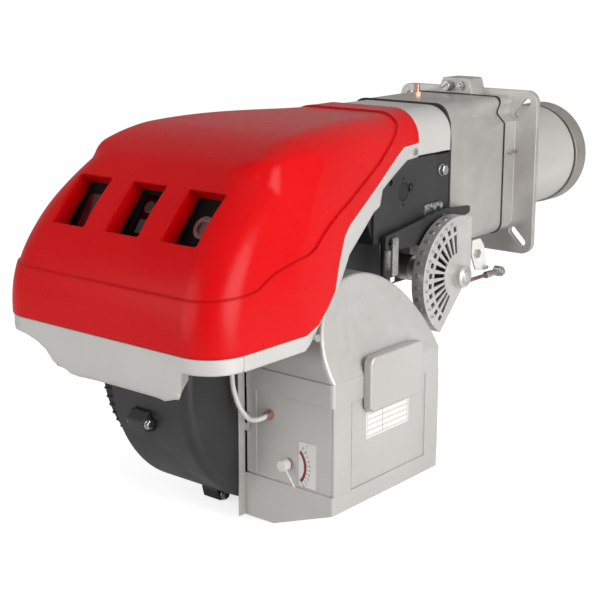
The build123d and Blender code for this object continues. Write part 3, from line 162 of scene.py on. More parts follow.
class Effects:
    """The shader groups that several finishes share."""

    def __init__(self) -> None:
        """Builds each group once."""
        self.grain = self._grain()
        self.mottle = self._mottle()
        self.worn_edges = self._worn_edges()
        self.dust = self._dust()

    def _grain(self) -> bpy.types.NodeTree:
        """Fine noise for bump and coarse noise for roughness, drawn out in one direction."""
        group = ShaderGroup("surface_grain")
        group.add_input("Scale", "NodeSocketFloat", 600.0)
        group.add_input("Draw", "NodeSocketVector", (1.0, 1.0, 1.0))
        group.add_output("Height", "NodeSocketFloat")
        group.add_output("Patches", "NodeSocketFloat")
        place = group.node("ShaderNodeTexCoord")
        drawn = group.node("ShaderNodeVectorMath", operation="MULTIPLY")
        group.join(place.outputs["Object"], drawn.inputs[0])
        group.join(group.inlet.outputs["Draw"], drawn.inputs[1])
        fine = group.node("ShaderNodeTexNoise")
        fine.inputs["Detail"].default_value = 4.0
        fine.inputs["Roughness"].default_value = 0.62
        group.join(drawn.outputs[0], fine.inputs["Vector"])
        group.join(group.inlet.outputs["Scale"], fine.inputs["Scale"])
        wide = group.node("ShaderNodeMath", operation="MULTIPLY")
        wide.inputs[1].default_value = 0.04
        group.join(group.inlet.outputs["Scale"], wide.inputs[0])
        coarse = group.node("ShaderNodeTexNoise")
        coarse.inputs["Detail"].default_value = 5.0
        group.join(place.outputs["Object"], coarse.inputs["Vector"])
        group.join(wide.outputs[0], coarse.inputs["Scale"])
        group.join(fine.outputs["Fac"], group.outlet.inputs["Height"])
        group.join(coarse.outputs["Fac"], group.outlet.inputs["Patches"])
        return group.tree

    def _mottle(self) -> bpy.types.NodeTree:
        """Two close tones mixed in soft patches."""
        group = ShaderGroup("tone_mottle")
        group.add_input("Tone", "NodeSocketColor", (0.5, 0.5, 0.5, 1.0))
        group.add_input("Shade", "NodeSocketColor", (0.4, 0.4, 0.4, 1.0))
        group.add_input("Scale", "NodeSocketFloat", 12.0)
        group.add_output("Colour", "NodeSocketColor")
        place = group.node("ShaderNodeTexCoord")
        noise = group.node("ShaderNodeTexNoise")
        noise.inputs["Detail"].default_value = 8.0
        group.join(place.outputs["Object"], noise.inputs["Vector"])
        group.join(group.inlet.outputs["Scale"], noise.inputs["Scale"])
        spread = group.node("ShaderNodeMapRange")
        spread.inputs["From Min"].default_value = 0.35
        spread.inputs["From Max"].default_value = 0.65
        group.join(noise.outputs["Fac"], spread.inputs["Value"])
        blend = group.node("ShaderNodeMix", data_type="RGBA")
        group.join(spread.outputs["Result"], blend.inputs["Factor"])
        group.join(group.inlet.outputs["Tone"], blend.inputs["A"])
        group.join(group.inlet.outputs["Shade"], blend.inputs["B"])
        group.join(blend.outputs["Result"], group.outlet.inputs["Colour"])
        return group.tree

    def _worn_edges(self) -> bpy.types.NodeTree:
        """Mask along sharp edges, broken up by noise, that carries painted edge highlights and edge wear."""
        group = ShaderGroup("worn_edges")
        group.add_input("Width", "NodeSocketFloat", 0.0015)
        group.add_input("Amount", "NodeSocketFloat", 1.0)
        group.add_output("Mask", "NodeSocketFloat")
        round_edge = group.node("ShaderNodeBevel", samples=4)
        group.join(group.inlet.outputs["Width"], round_edge.inputs["Radius"])
        flat = group.node("ShaderNodeNewGeometry")
        turn = group.node("ShaderNodeVectorMath", operation="DOT_PRODUCT")
        group.join(round_edge.outputs["Normal"], turn.inputs[0])
        group.join(flat.outputs["Normal"], turn.inputs[1])
        edge = group.node("ShaderNodeMapRange")
        edge.inputs["From Min"].default_value = 0.97
        edge.inputs["From Max"].default_value = 0.72
        group.join(turn.outputs["Value"], edge.inputs["Value"])
        place = group.node("ShaderNodeTexCoord")
        noise = group.node("ShaderNodeTexNoise")
        noise.inputs["Scale"].default_value = 90.0
        noise.inputs["Detail"].default_value = 5.0
        group.join(place.outputs["Object"], noise.inputs["Vector"])
        broken = group.node("ShaderNodeMath", operation="MULTIPLY")
        group.join(edge.outputs["Result"], broken.inputs[0])
        group.join(noise.outputs["Fac"], broken.inputs[1])
        scaled = group.node("ShaderNodeMath", operation="MULTIPLY", use_clamp=True)
        group.join(broken.outputs[0], scaled.inputs[0])
        group.join(group.inlet.outputs["Amount"], scaled.inputs[1])
        group.join(scaled.outputs[0], group.outlet.inputs["Mask"])
        return group.tree

    def _dust(self) -> bpy.types.NodeTree:
        """Mask of fine dust on faces that look upward."""
        group = ShaderGroup("settled_dust")
        group.add_input("Amount", "NodeSocketFloat", 0.1)
        group.add_output("Mask", "NodeSocketFloat")
        face = group.node("ShaderNodeNewGeometry")
        split = group.node("ShaderNodeSeparateXYZ")
        group.join(face.outputs["Normal"], split.inputs[0])
        upward = group.node("ShaderNodeMapRange")
        upward.inputs["From Min"].default_value = 0.2
        upward.inputs["From Max"].default_value = 1.0
        group.join(split.outputs["Z"], upward.inputs["Value"])
        place = group.node("ShaderNodeTexCoord")
        noise = group.node("ShaderNodeTexNoise")
        noise.inputs["Scale"].default_value = 26.0
        noise.inputs["Detail"].default_value = 9.0
        group.join(place.outputs["Object"], noise.inputs["Vector"])
        patches = group.node("ShaderNodeMath", operation="MULTIPLY")
        group.join(upward.outputs["Result"], patches.inputs[0])
        group.join(noise.outputs["Fac"], patches.inputs[1])
        scaled = group.node("ShaderNodeMath", operation="MULTIPLY", use_clamp=True)
        group.join(patches.outputs[0], scaled.inputs[0])
        group.join(group.inlet.outputs["Amount"], scaled.inputs[1])
        group.join(scaled.outputs[0], group.outlet.inputs["Mask"])
        return group.tree


@dataclass(frozen=True)
class Finish:
    """One surface finish: its tones, gloss, grain, edge tone (painted highlights and wear) and dust."""

    name: str
    tone: Colour
    shade: Colour
    metallic: float = 0.0
    roughness: float = 0.5
    roughness_spread: float = 0.08
    grain: float = 900.0
    draw: Grain = Grain.EVEN
    bump: float = 0.0002
    coat: float = 0.0
    specular: float = 0.5
    edge: float = 0.0008
    # Edge tone and its amount: on the silver, aluminium and zinc finishes and the tinted glass it is a
    # painted highlight along the edges; on brass and the black paints the edges turn lighter, on the white
    # coat darker.
    wear: float = 0.0
    wear_tone: Colour = (0.62, 0.61, 0.59)
    dust: float = 0.0
    patches: float = 14.0

    def build(self, effects: Effects) -> bpy.types.Material:
        """Makes the material.

        Args:
            effects: the shared shader groups.

        Returns:
            The finished material.
        """
        material = bpy.data.materials.new(self.name)
        material.use_nodes = True
        tree = material.node_tree
        shader = tree.nodes["Principled BSDF"]
        shader.inputs["Metallic"].default_value = self.metallic
        shader.inputs["Coat Weight"].default_value = self.coat
        shader.inputs["Specular IOR Level"].default_value = self.specular
        tree.links.new(self._colour(tree, effects), shader.inputs["Base Color"])
        grain = self._place(tree, effects.grain, {"Scale": self.grain, "Draw": self.draw.value})
        gloss = tree.nodes.new("ShaderNodeMapRange")
        gloss.inputs["From Min"].default_value = 0.3
        gloss.inputs["From Max"].default_value = 0.7
        gloss.inputs["To Min"].default_value = max(LEAST_ROUGHNESS, self.roughness - self.roughness_spread)
        gloss.inputs["To Max"].default_value = self.roughness + self.roughness_spread
        tree.links.new(grain.outputs["Patches"], gloss.inputs["Value"])
        tree.links.new(gloss.outputs["Result"], shader.inputs["Roughness"])
        soft = tree.nodes.new("ShaderNodeBevel")
        soft.samples = 4
        soft.inputs["Radius"].default_value = self.edge
        relief = tree.nodes.new("ShaderNodeBump")
        relief.inputs["Strength"].default_value = 1.0
        relief.inputs["Distance"].default_value = self.bump
        tree.links.new(grain.outputs["Height"], relief.inputs["Height"])
        tree.links.new(soft.outputs["Normal"], relief.inputs["Normal"])
        tree.links.new(relief.outputs["Normal"], shader.inputs["Normal"])
        return material

    def _place(self, tree: bpy.types.NodeTree, group: bpy.types.NodeTree, values: dict) -> bpy.types.Node:
        """Places a shared group in a material with its own values."""
        node = tree.nodes.new("ShaderNodeGroup")
        node.node_tree = group
        for name, value in values.items():
            node.inputs[name].default_value = value
        return node

    def _colour(self, tree: bpy.types.NodeTree, effects: Effects) -> bpy.types.NodeSocket:
        """Mottled tone with the edge tone (painted highlights and wear) and dust over it."""
        tones = {"Tone": (*self.tone, 1.0), "Shade": (*self.shade, 1.0), "Scale": self.patches}
        colour = self._place(tree, effects.mottle, tones).outputs["Colour"]
        # Edge tone over the sharp edges; on the pale metal finishes it is a painted highlight.
        if self.wear > 0:
            values = {"Width": self.edge * EDGE_WEAR_AND_HIGHLIGHT_REACH, "Amount": self.wear}
            mask = self._place(tree, effects.worn_edges, values).outputs["Mask"]
            colour = self._over(tree, colour, mask, self.wear_tone)
        if self.dust > 0:
            mask = self._place(tree, effects.dust, {"Amount": self.dust}).outputs["Mask"]
            colour = self._over(tree, colour, mask, DUST_TONE)
        return colour

    def _over(
        self, tree: bpy.types.NodeTree, under: bpy.types.NodeSocket, mask: bpy.types.NodeSocket, tone: Colour
    ) -> bpy.types.NodeSocket:
        """Lays a tone over a colour where the mask is high."""
        blend = tree.nodes.new("ShaderNodeMix")
        blend.data_type = "RGBA"
        tree.links.new(mask, blend.inputs["Factor"])
        tree.links.new(under, blend.inputs["A"])
        blend.inputs["B"].default_value = (*tone, 1.0)
        return blend.outputs["Result"]


# Painted highlight: pale tone laid along the sharp edges of the silver, aluminium and zinc finishes, where
# light catches them.
PAINTED_EDGE_HIGHLIGHT = (0.78, 0.77, 0.75)

FINISHES = {
    "hood_red": Finish("red_moulding", (0.65, 0.002, 0.004), (0.60, 0.001, 0.003), roughness=0.30,
                       roughness_spread=0.03, grain=1400, bump=0.00002, specular=0.17, edge=0.005,
                       patches=5),
    "base_silver": Finish("silver_moulding", (0.60, 0.585, 0.56), (0.56, 0.545, 0.52), metallic=0.2,
                          roughness=0.42, roughness_spread=0.05, grain=1800, bump=0.00004, edge=0.004,
                          wear=0.4, wear_tone=PAINTED_EDGE_HIGHLIGHT, patches=7),
    "cast_silver": Finish("sand_cast_aluminium", (0.60, 0.58, 0.55), (0.50, 0.48, 0.455), metallic=0.6,
                          roughness=0.40, grain=620, bump=0.0004, edge=0.0025, wear=1.2,
                          wear_tone=PAINTED_EDGE_HIGHLIGHT, dust=0.12, patches=11),
    "flange_plate": Finish("flange_aluminium", (0.66, 0.645, 0.62), (0.55, 0.53, 0.505), metallic=0.7,
                           roughness=0.36, grain=520, bump=0.0003, edge=0.0016, wear=1.4,
                           wear_tone=PAINTED_EDGE_HIGHLIGHT, patches=16),
    "sheet_silver": Finish("silver_sheet_coat", (0.60, 0.585, 0.56), (0.545, 0.53, 0.505), metallic=0.45,
                           roughness=0.42, roughness_spread=0.05, grain=2200, bump=0.00008, edge=0.002,
                           wear=0.9, wear_tone=PAINTED_EDGE_HIGHLIGHT, patches=6),
    "tube_steel": Finish("satin_tube_steel", (0.74, 0.715, 0.68), (0.68, 0.655, 0.62), metallic=0.5,
                         roughness=0.36, grain=700, draw=Grain.ROUND_TUBE, bump=0.0001, patches=9),
    "ring_steel": Finish("satin_ring_steel", (0.58, 0.54, 0.49), (0.46, 0.43, 0.39), metallic=0.85,
                         roughness=0.40, grain=700, draw=Grain.ROUND_TUBE, bump=0.0001, edge=0.002,
                         patches=12),
    "black_cast": Finish("black_cast_paint", (0.020, 0.020, 0.021), (0.027, 0.027, 0.028), roughness=0.36,
                         grain=700, bump=0.0003, coat=0.1, edge=0.0022, wear=0.35,
                         wear_tone=(0.16, 0.16, 0.155), dust=0.03, patches=13),
    "black_sheet": Finish("black_sheet_paint", (0.024, 0.024, 0.025), (0.032, 0.032, 0.033), roughness=0.40,
                          grain=1500, bump=0.00008, wear=0.5, wear_tone=(0.18, 0.18, 0.175), patches=11),
    "black_plastic": Finish("black_moulding", (0.010, 0.010, 0.011), (0.014, 0.014, 0.015), roughness=0.5,
                            grain=2000, bump=0.00008, patches=18),
    "gasket": Finish("fibre_gasket", (0.020, 0.019, 0.018), (0.045, 0.042, 0.039), roughness=0.9,
                     grain=1300, bump=0.0004, patches=60),
    "brass": Finish("copper_brass", (0.62, 0.37, 0.29), (0.50, 0.29, 0.22), metallic=0.9, roughness=0.34,
                    grain=1500, bump=0.00005, edge=0.0006, wear=0.6, wear_tone=(0.75, 0.58, 0.50),
                    patches=60),
    "zinc": Finish("bright_zinc", (0.64, 0.64, 0.62), (0.50, 0.50, 0.485), metallic=0.95, roughness=0.26,
                   grain=1800, bump=0.00006, edge=0.0006, wear=0.8, wear_tone=PAINTED_EDGE_HIGHLIGHT, patches=70),
    "chrome": Finish("ground_steel", (0.70, 0.70, 0.70), (0.62, 0.62, 0.62), metallic=1.0, roughness=0.14,
                     grain=900, draw=Grain.ALONG_TUBE, bump=0.00003, edge=0.0005, patches=40),
    "cam_alu": Finish("turned_aluminium", (0.70, 0.69, 0.665), (0.62, 0.61, 0.585), metallic=0.6,
                      roughness=0.34, grain=1500, bump=0.00008, edge=0.0008, wear=1.2,
                      wear_tone=PAINTED_EDGE_HIGHLIGHT, patches=26),
    "spring_steel": Finish("spring_steel", (0.40, 0.39, 0.38), (0.31, 0.30, 0.29), metallic=1.0,
                           roughness=0.28, grain=1400, bump=0.00005, edge=0.0003, patches=40),
    "white_zinc": Finish("white_coat", (0.78, 0.765, 0.73), (0.70, 0.685, 0.65), roughness=0.40, grain=1500,
                         bump=0.00006, edge=0.0008, wear=0.3, wear_tone=(0.4, 0.4, 0.38), patches=40),
    "lens_red": Finish("red_lens", (0.045, 0.002, 0.002), (0.020, 0.001, 0.001), roughness=0.14, grain=900,
                       bump=0.00003, coat=0.3, patches=50),
    # Painted highlight: pale pink tone along the edges of the dark glass.
    "sight": Finish("tinted_glass", (0.20, 0.060, 0.060), (0.10, 0.025, 0.025), roughness=0.14, grain=600,
                    bump=0.00003, coat=0.5, edge=0.0012, wear=1.0, wear_tone=(0.70, 0.42, 0.42), patches=70),
    "hose_grey": Finish("pale_hose", (0.72, 0.71, 0.68), (0.64, 0.63, 0.60), roughness=0.42, grain=1400,
                        bump=0.0001, patches=50),
    "plate_white": Finish("pale_label", (0.74, 0.73, 0.70), (0.70, 0.69, 0.66), roughness=0.38, grain=2400,
                          bump=0.00002, edge=0.0003, patches=16),
    "ceramic": Finish("white_ceramic", (0.78, 0.77, 0.73), (0.70, 0.68, 0.64), roughness=0.25, grain=1500,
                      bump=0.00005, patches=40),
    "button_red": Finish("button_moulding", (0.030, 0.002, 0.002), (0.020, 0.001, 0.001), roughness=0.35,
                         grain=1500, bump=0.00004, patches=60),
    "pointer_white": Finish("pale_knob", (0.74, 0.72, 0.67), (0.66, 0.64, 0.60), roughness=0.4, grain=1500,
                            bump=0.00008, patches=60),
    "galvanised": Finish("galvanised_sheet", (0.50, 0.50, 0.48), (0.38, 0.38, 0.37), metallic=0.9,
                         roughness=0.38, grain=500, bump=0.0001, patches=45),
    # Painted shade: near-black for the recess inside the hood's windows and for the backing behind the cam's
    # slots.
    "deep_black": Finish("painted_shade_black", (0.004, 0.004, 0.004), (0.006, 0.006, 0.006), roughness=0.6,
                         grain=1500, bump=0.00004, specular=0.1, patches=15),
    "print_black": Finish("black_print", (0.02, 0.02, 0.02), (0.03, 0.03, 0.03), roughness=0.6, grain=2000,
                          bump=0.00001, edge=0.0001),
    "print_grey": Finish("grey_print", (0.16, 0.16, 0.155), (0.20, 0.20, 0.19), roughness=0.6, grain=2000,
                         bump=0.00001, edge=0.0001),
    "print_red": Finish("red_print", (0.26, 0.014, 0.014), (0.22, 0.010, 0.010), roughness=0.5, grain=2000,
                        bump=0.00001, edge=0.0001),
}


@dataclass
class Workshop:
    """What every sub-assembly needs: the frame and the materials by slot."""

    frame: dict
    materials: dict[str, bpy.types.Material] = field(default_factory=dict)

    def paint(self) -> None:
        """Builds the finishes and gives each CAD node the one of its slot."""
        effects = Effects()
        for slot, finish in FINISHES.items():
            self.materials[slot] = finish.build(effects)
        for part in self.frame["record"]["subparts"]:
            node = self.frame["nodes"][part["node"]]
            for place in node.material_slots:
                place.material = self.materials[part["material_slot"]]
            LOG.info("%s wears %s", part["node"], part["material_slot"])

    def refinish(self, node: str, slot: str) -> None:
        """Gives a node of the frame another finish."""
        for place in self.frame["nodes"][node].material_slots:
            place.material = self.materials[slot]

    def keep(self, piece: bpy.types.Object, body: str, slot: str, replaces: tuple[str, ...] = ()) -> None:
        """Gives a finished piece its material, body and slot.

        Args:
            piece: the object.
            body: name of the body that carries it.
            slot: material slot of the record or of the prints.
            replaces: nodes that it stands for.
        """
        piece.data.materials.clear()
        piece.data.materials.append(self.materials[slot])
        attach(piece, body)
        if replaces:
            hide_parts(*replaces)
        LOG.info("%s rides on %s", piece.name, body)


def placed(name: str, data: bpy.types.Mesh) -> bpy.types.Object:
    """Puts a mesh in the scene as an object of the given name."""
    piece = bpy.data.objects.new(name, data)
    bpy.context.scene.collection.objects.link(piece)
    return piece


def evaluated_mesh(piece: bpy.types.Object) -> bpy.types.Mesh:
    """Mesh of an object with its modifiers or its font applied."""
    bpy.context.view_layer.update()
    graph = bpy.context.evaluated_depsgraph_get()
    return bpy.data.meshes.new_from_object(piece.evaluated_get(graph))


def solid_from_rings(name: str, rings: list[list[Vector]], smooth: bool = False) -> bpy.types.Object:
    """Closed solid through rings of equally many points.

    Args:
        name: name of the object.
        rings: closed rings in order; the first and the last are capped.
        smooth: whether its faces are shaded smooth.

    Returns:
        The new object.
    """
    mesh = bmesh.new()
    loops = [[mesh.verts.new(point) for point in ring] for ring in rings]
    count = len(rings[0])
    for low, high in zip(loops, loops[1:]):
        for index in range(count):
            following = (index + 1) % count
            mesh.faces.new((low[index], low[following], high[following], high[index]))
    mesh.faces.new(list(reversed(loops[0])))
    mesh.faces.new(loops[-1])
    bmesh.ops.recalc_face_normals(mesh, faces=mesh.faces)
    for face in mesh.faces:
        face.smooth = smooth
    data = bpy.data.meshes.new(name)
    mesh.to_mesh(data)
    mesh.free()
    return placed(name, data)


def joined(name: str, pieces: list[bpy.types.Object]) -> bpy.types.Object:
    """Joins several meshes into one object of the given name."""
    mesh = bmesh.new()
    for piece in pieces:
        mesh.from_mesh(piece.data)
        bpy.data.objects.remove(piece)
    data = bpy.data.meshes.new(name)
    mesh.to_mesh(data)
    mesh.free()
    return placed(name, data)


def slab(name: str, low: Vector, high: Vector) -> bpy.types.Object:
    """Thin rectangular piece between two corners.

    Args:
        name: name of the object.
        low: its lowest corner.
        high: its highest corner.

    Returns:
        The new object.
    """
    rings = []
    for height in (low.z, high.z):
        rings.append([
            Vector((low.x, low.y, height)),
            Vector((high.x, low.y, height)),
            Vector((high.x, high.y, height)),
            Vector((low.x, high.y, height)),
        ])
    return solid_from_rings(name, rings)


def turned(
    name: str, start: Vector, axis: Vector, profile: tuple[tuple[float, float], ...], sides: int = 32,
    smooth: bool = True,
) -> bpy.types.Object:
    """Piece turned round an axis from a profile.

    Args:
        name: name of the object.
        start: point of the axis where the profile starts.
        axis: direction of the axis.
        profile: pairs of distance along the axis and radius.
        sides: number of facets round the axis; six makes a hexagon.
        smooth: whether its faces are shaded smooth.

    Returns:
        The new object.
    """
    way = axis.normalized()
    side = way.orthogonal().normalized()
    other = way.cross(side)
    rings = []
    for along, radius in profile:
        ring = []
        for index in range(sides):
            turn = 2 * math.pi * index / sides
            ring.append(start + way * along + (side * math.cos(turn) + other * math.sin(turn)) * radius)
        rings.append(ring)
    return solid_from_rings(name, rings, smooth)


@dataclass
class DamperScale:
    """Printed scale beside the damper pointer: red arc, ticks and plain numbers."""

    shop: Workshop
    hub_x: float = 0.138
    hub_z: float = -0.311
    divisions: int = 9
    low_turn: float = -43.0
    high_turn: float = 45.0
    arc_radius: float = 0.0300
    arc_half: float = 0.0021
    arc_steps: int = 28
    tick: float = 0.0030
    tick_gap: float = 0.0006
    tick_half_turn: float = 0.45
    tick_taper: float = 0.9
    digit: float = 0.0050
    digit_gap: float = 0.0078
    lift: float = 0.0002
    centre: Vector = field(init=False)

    def __post_init__(self) -> None:
        """Finds the pointer's hub on the face of the plate."""
        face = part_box("scale_plate")[0].y
        self.centre = Vector((self.hub_x, face - self.lift, self.hub_z))

    def build(self) -> None:
        """Makes the marks on the scale plate."""
        ticks = [self._tick(number) for number in range(self.divisions + 1)]
        self.shop.keep(joined("scale_ticks", ticks), "burner_body", "print_black")
        digits = [self._digit(number) for number in range(self.divisions + 1)]
        self.shop.keep(joined("scale_numbers", digits), "burner_body", "print_black")
        self.shop.keep(self._arc(), "burner_body", "print_red")

    def _point(self, turn: float, reach: float, deep: float) -> Vector:
        """Point of the scale at a turn in degrees and a distance from the pointer's hub."""
        side = math.cos(math.radians(turn)) * reach
        height = math.sin(math.radians(turn)) * reach
        return self.centre + Vector((side, deep, height))

    def _turn(self, number: int) -> float:
        """Turn of a division in degrees."""
        return self.low_turn + (self.high_turn - self.low_turn) * number / self.divisions

    def _tick(self, number: int) -> bpy.types.Object:
        """One tick outside the red arc."""
        turn = self._turn(number)
        reach = self.arc_radius + self.arc_half + self.tick_gap
        half = self.tick_half_turn
        rings = []
        for deep in (0.0, self.lift):
            rings.append([
                self._point(turn - half, reach, deep),
                self._point(turn + half, reach, deep),
                self._point(turn + half * self.tick_taper, reach + self.tick, deep),
                self._point(turn - half * self.tick_taper, reach + self.tick, deep),
            ])
        return solid_from_rings("tick", rings)

    def _digit(self, number: int) -> bpy.types.Object:
        """One number of the scale, upright, beyond its tick."""
        font = bpy.data.curves.new("digit", "FONT")
        font.body = str(number)
        font.size = self.digit
        font.align_x = "CENTER"
        font.align_y = "CENTER"
        shape = bpy.data.objects.new("digit", font)
        bpy.context.scene.collection.objects.link(shape)
        shape.rotation_euler = (math.pi / 2, 0, 0)
        shape.location = self._point(self._turn(number), self.arc_radius + self.digit_gap, 0.0)
        data = evaluated_mesh(shape)
        data.transform(shape.matrix_world)
        bpy.data.objects.remove(shape)
        return placed("digit", data)

    def _arc(self) -> bpy.types.Object:
        """Red arc of the scale."""
        bands = []
        for index in range(self.arc_steps + 1):
            turn = self.low_turn + (self.high_turn - self.low_turn) * index / self.arc_steps
            bands.append([
                self._point(turn, self.arc_radius - self.arc_half, 0.0),
                self._point(turn, self.arc_radius + self.arc_half, 0.0),
                self._point(turn, self.arc_radius + self.arc_half, self.lift),
                self._point(turn, self.arc_radius - self.arc_half, self.lift),
            ])
        return solid_from_rings("scale_arc", bands)


@dataclass
class RatingLines:
    """Plain ruled lines of an empty form on the rating plate."""

    shop: Workshop
    rows: int = 5
    columns: tuple[float, ...] = (0.0, 0.38, 1.0)
    border: float = 0.003
    line: float = 0.0005
    lift: float = 0.00015

    def build(self) -> None:
        """Rules the plate."""
        low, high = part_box("rating_plate")
        bottom, top = low.z + self.border, high.z - self.border
        marks = []
        for row in range(self.rows):
            height = bottom + (top - bottom) * row / (self.rows - 1)
            start = Vector((high.x, low.y + self.border, height - self.line / 2))
            end = Vector((high.x + self.lift, high.y - self.border, height + self.line / 2))
            marks.append(slab("rule", start, end))
        for share in self.columns:
            y = low.y + self.border + (high.y - low.y - 2 * self.border) * share
            start = Vector((high.x, y - self.line / 2, bottom))
            marks.append(slab("rule", start, Vector((high.x + self.lift, y + self.line / 2, top))))
        self.shop.keep(joined("rating_rules", marks), "burner_body", "print_grey")


@dataclass(frozen=True)
class Opening:
    """Opening that runs outward from the cam's hub and widens on the way."""

    near: float
    far: float
    near_width: float
    far_width: float


@dataclass
class CamFace:
    """Cam sector with tapered inner slots and a row of short outer windows over a near-black backing, which
    stands for the black strip behind the slots and paints the shade in them.
    """

    shop: Workshop
    centre: Vector = field(default_factory=lambda: Vector((0.0, -0.240, -0.126)))
    radius: float = 0.0915
    rim_wall: float = 0.008
    notch: tuple[tuple[float, float], ...] = ((0.020, -0.016), (0.036, -0.0032))
    face: tuple[float, float] = (0.1365, 0.140)
    rim: tuple[float, float] = (0.119, 0.1368)
    guard: tuple[float, float] = (0.1335, 0.1350)
    guard_gap: float = 0.0005
    first_turn: float = 66.8
    last_turn: float = 241.2
    arc_steps: int = 56
    rays: int = 12
    first_ray: float = 98.0
    last_ray: float = 232.0
    slot: Opening = Opening(0.035, 0.064, 0.0050, 0.0072)
    window: Opening = Opening(0.0690, 0.0775, 0.0072, 0.0078)
    cut_past: float = 0.001
    hub_start: float = 0.118
    hub_sides: int = 48
    hub: tuple[tuple[float, float], ...] = (
        (0.0, 0.017), (0.0355, 0.017), (0.0365, 0.0165), (0.037, 0.0155), (0.037, 0.009),
        (0.0385, 0.009), (0.039, 0.0084),
    )

    def build(self) -> None:
        """Makes the face, its rim and hub, and the near-black backing behind the slots, which is partly
        painted shade.
        """
        start = Vector((self.hub_start, self.centre.y, self.centre.z))
        hub = turned("hub", start, Vector((1, 0, 0)), self.hub, self.hub_sides)
        sector = joined("cam_sector", [self._slotted(), self._rim(), hub])
        self.shop.keep(sector, "cam", "cam_alu", ("cam",))
        # Painted shade in part: the near-black backing stands for the black strip behind the slots and for
        # the shade inside them.
        guard = self._prism("cam_shade_backing", self.radius - self.rim_wall - self.guard_gap, self.guard)
        self.shop.keep(guard, "cam", "deep_black")

    def _slotted(self) -> bpy.types.Object:
        """Face of the sector with its slots and windows cut through."""
        face = self._prism("face", self.radius, self.face)
        cutters = []
        for ray in range(self.rays):
            turn = math.radians(self.first_ray + (self.last_ray - self.first_ray) * ray / (self.rays - 1))
            cutters.extend([self._cutter(turn, self.slot), self._cutter(turn, self.window)])
        tool = joined("cam_cutters", cutters)
        cut = face.modifiers.new("slots", "BOOLEAN")
        cut.operation = "DIFFERENCE"
        cut.solver = "EXACT"
        cut.object = tool
        data = evaluated_mesh(face)
        face.modifiers.clear()
        face.data = data
        bpy.data.objects.remove(tool)
        return face

    def _turns(self) -> list[float]:
        """Turns along the sector's round edge, in radians."""
        span = self.last_turn - self.first_turn
        return [
            math.radians(self.first_turn + span * index / self.arc_steps)
            for index in range(self.arc_steps + 1)
        ]

    def _point(self, x: float, radius: float, turn: float) -> Vector:
        """Point at a radius and a turn in radians, at a level along the axis."""
        return self.centre + Vector((x, math.cos(turn) * radius, math.sin(turn) * radius))

    def _prism(self, name: str, radius: float, levels: tuple[float, float]) -> bpy.types.Object:
        """Plate with the outline of the sector: an upright flank above the hub, a slanting one below."""
        rings = []
        for x in levels:
            ring = [self._point(x, radius, turn) for turn in self._turns()]
            ring.extend(self.centre + Vector((x, across, up)) for across, up in self.notch)
            rings.append(ring)
        return solid_from_rings(name, rings)

    def _rim(self) -> bpy.types.Object:
        """Deep rim behind the face."""
        inner = self.radius - self.rim_wall
        bands = []
        for turn in self._turns():
            bands.append([
                self._point(self.rim[0], inner, turn),
                self._point(self.rim[0], self.radius, turn),
                self._point(self.rim[1], self.radius, turn),
                self._point(self.rim[1], inner, turn),
            ])
        return solid_from_rings("rim", bands)

    def _cutter(self, turn: float, opening: Opening) -> bpy.types.Object:
        """Block that cuts one opening."""
        out = Vector((0, math.cos(turn), math.sin(turn)))
        side = Vector((0, -math.sin(turn), math.cos(turn)))
        rings = []
        for x in (self.face[0] - self.cut_past, self.face[1] + self.cut_past):
            level = self.centre + Vector((x, 0, 0))
            rings.append([
                level + out * opening.near - side * opening.near_width / 2,
                level + out * opening.far - side * opening.far_width / 2,
                level + out * opening.far + side * opening.far_width / 2,
                level + out * opening.near + side * opening.near_width / 2,
            ])
        return solid_from_rings("cutter", rings)


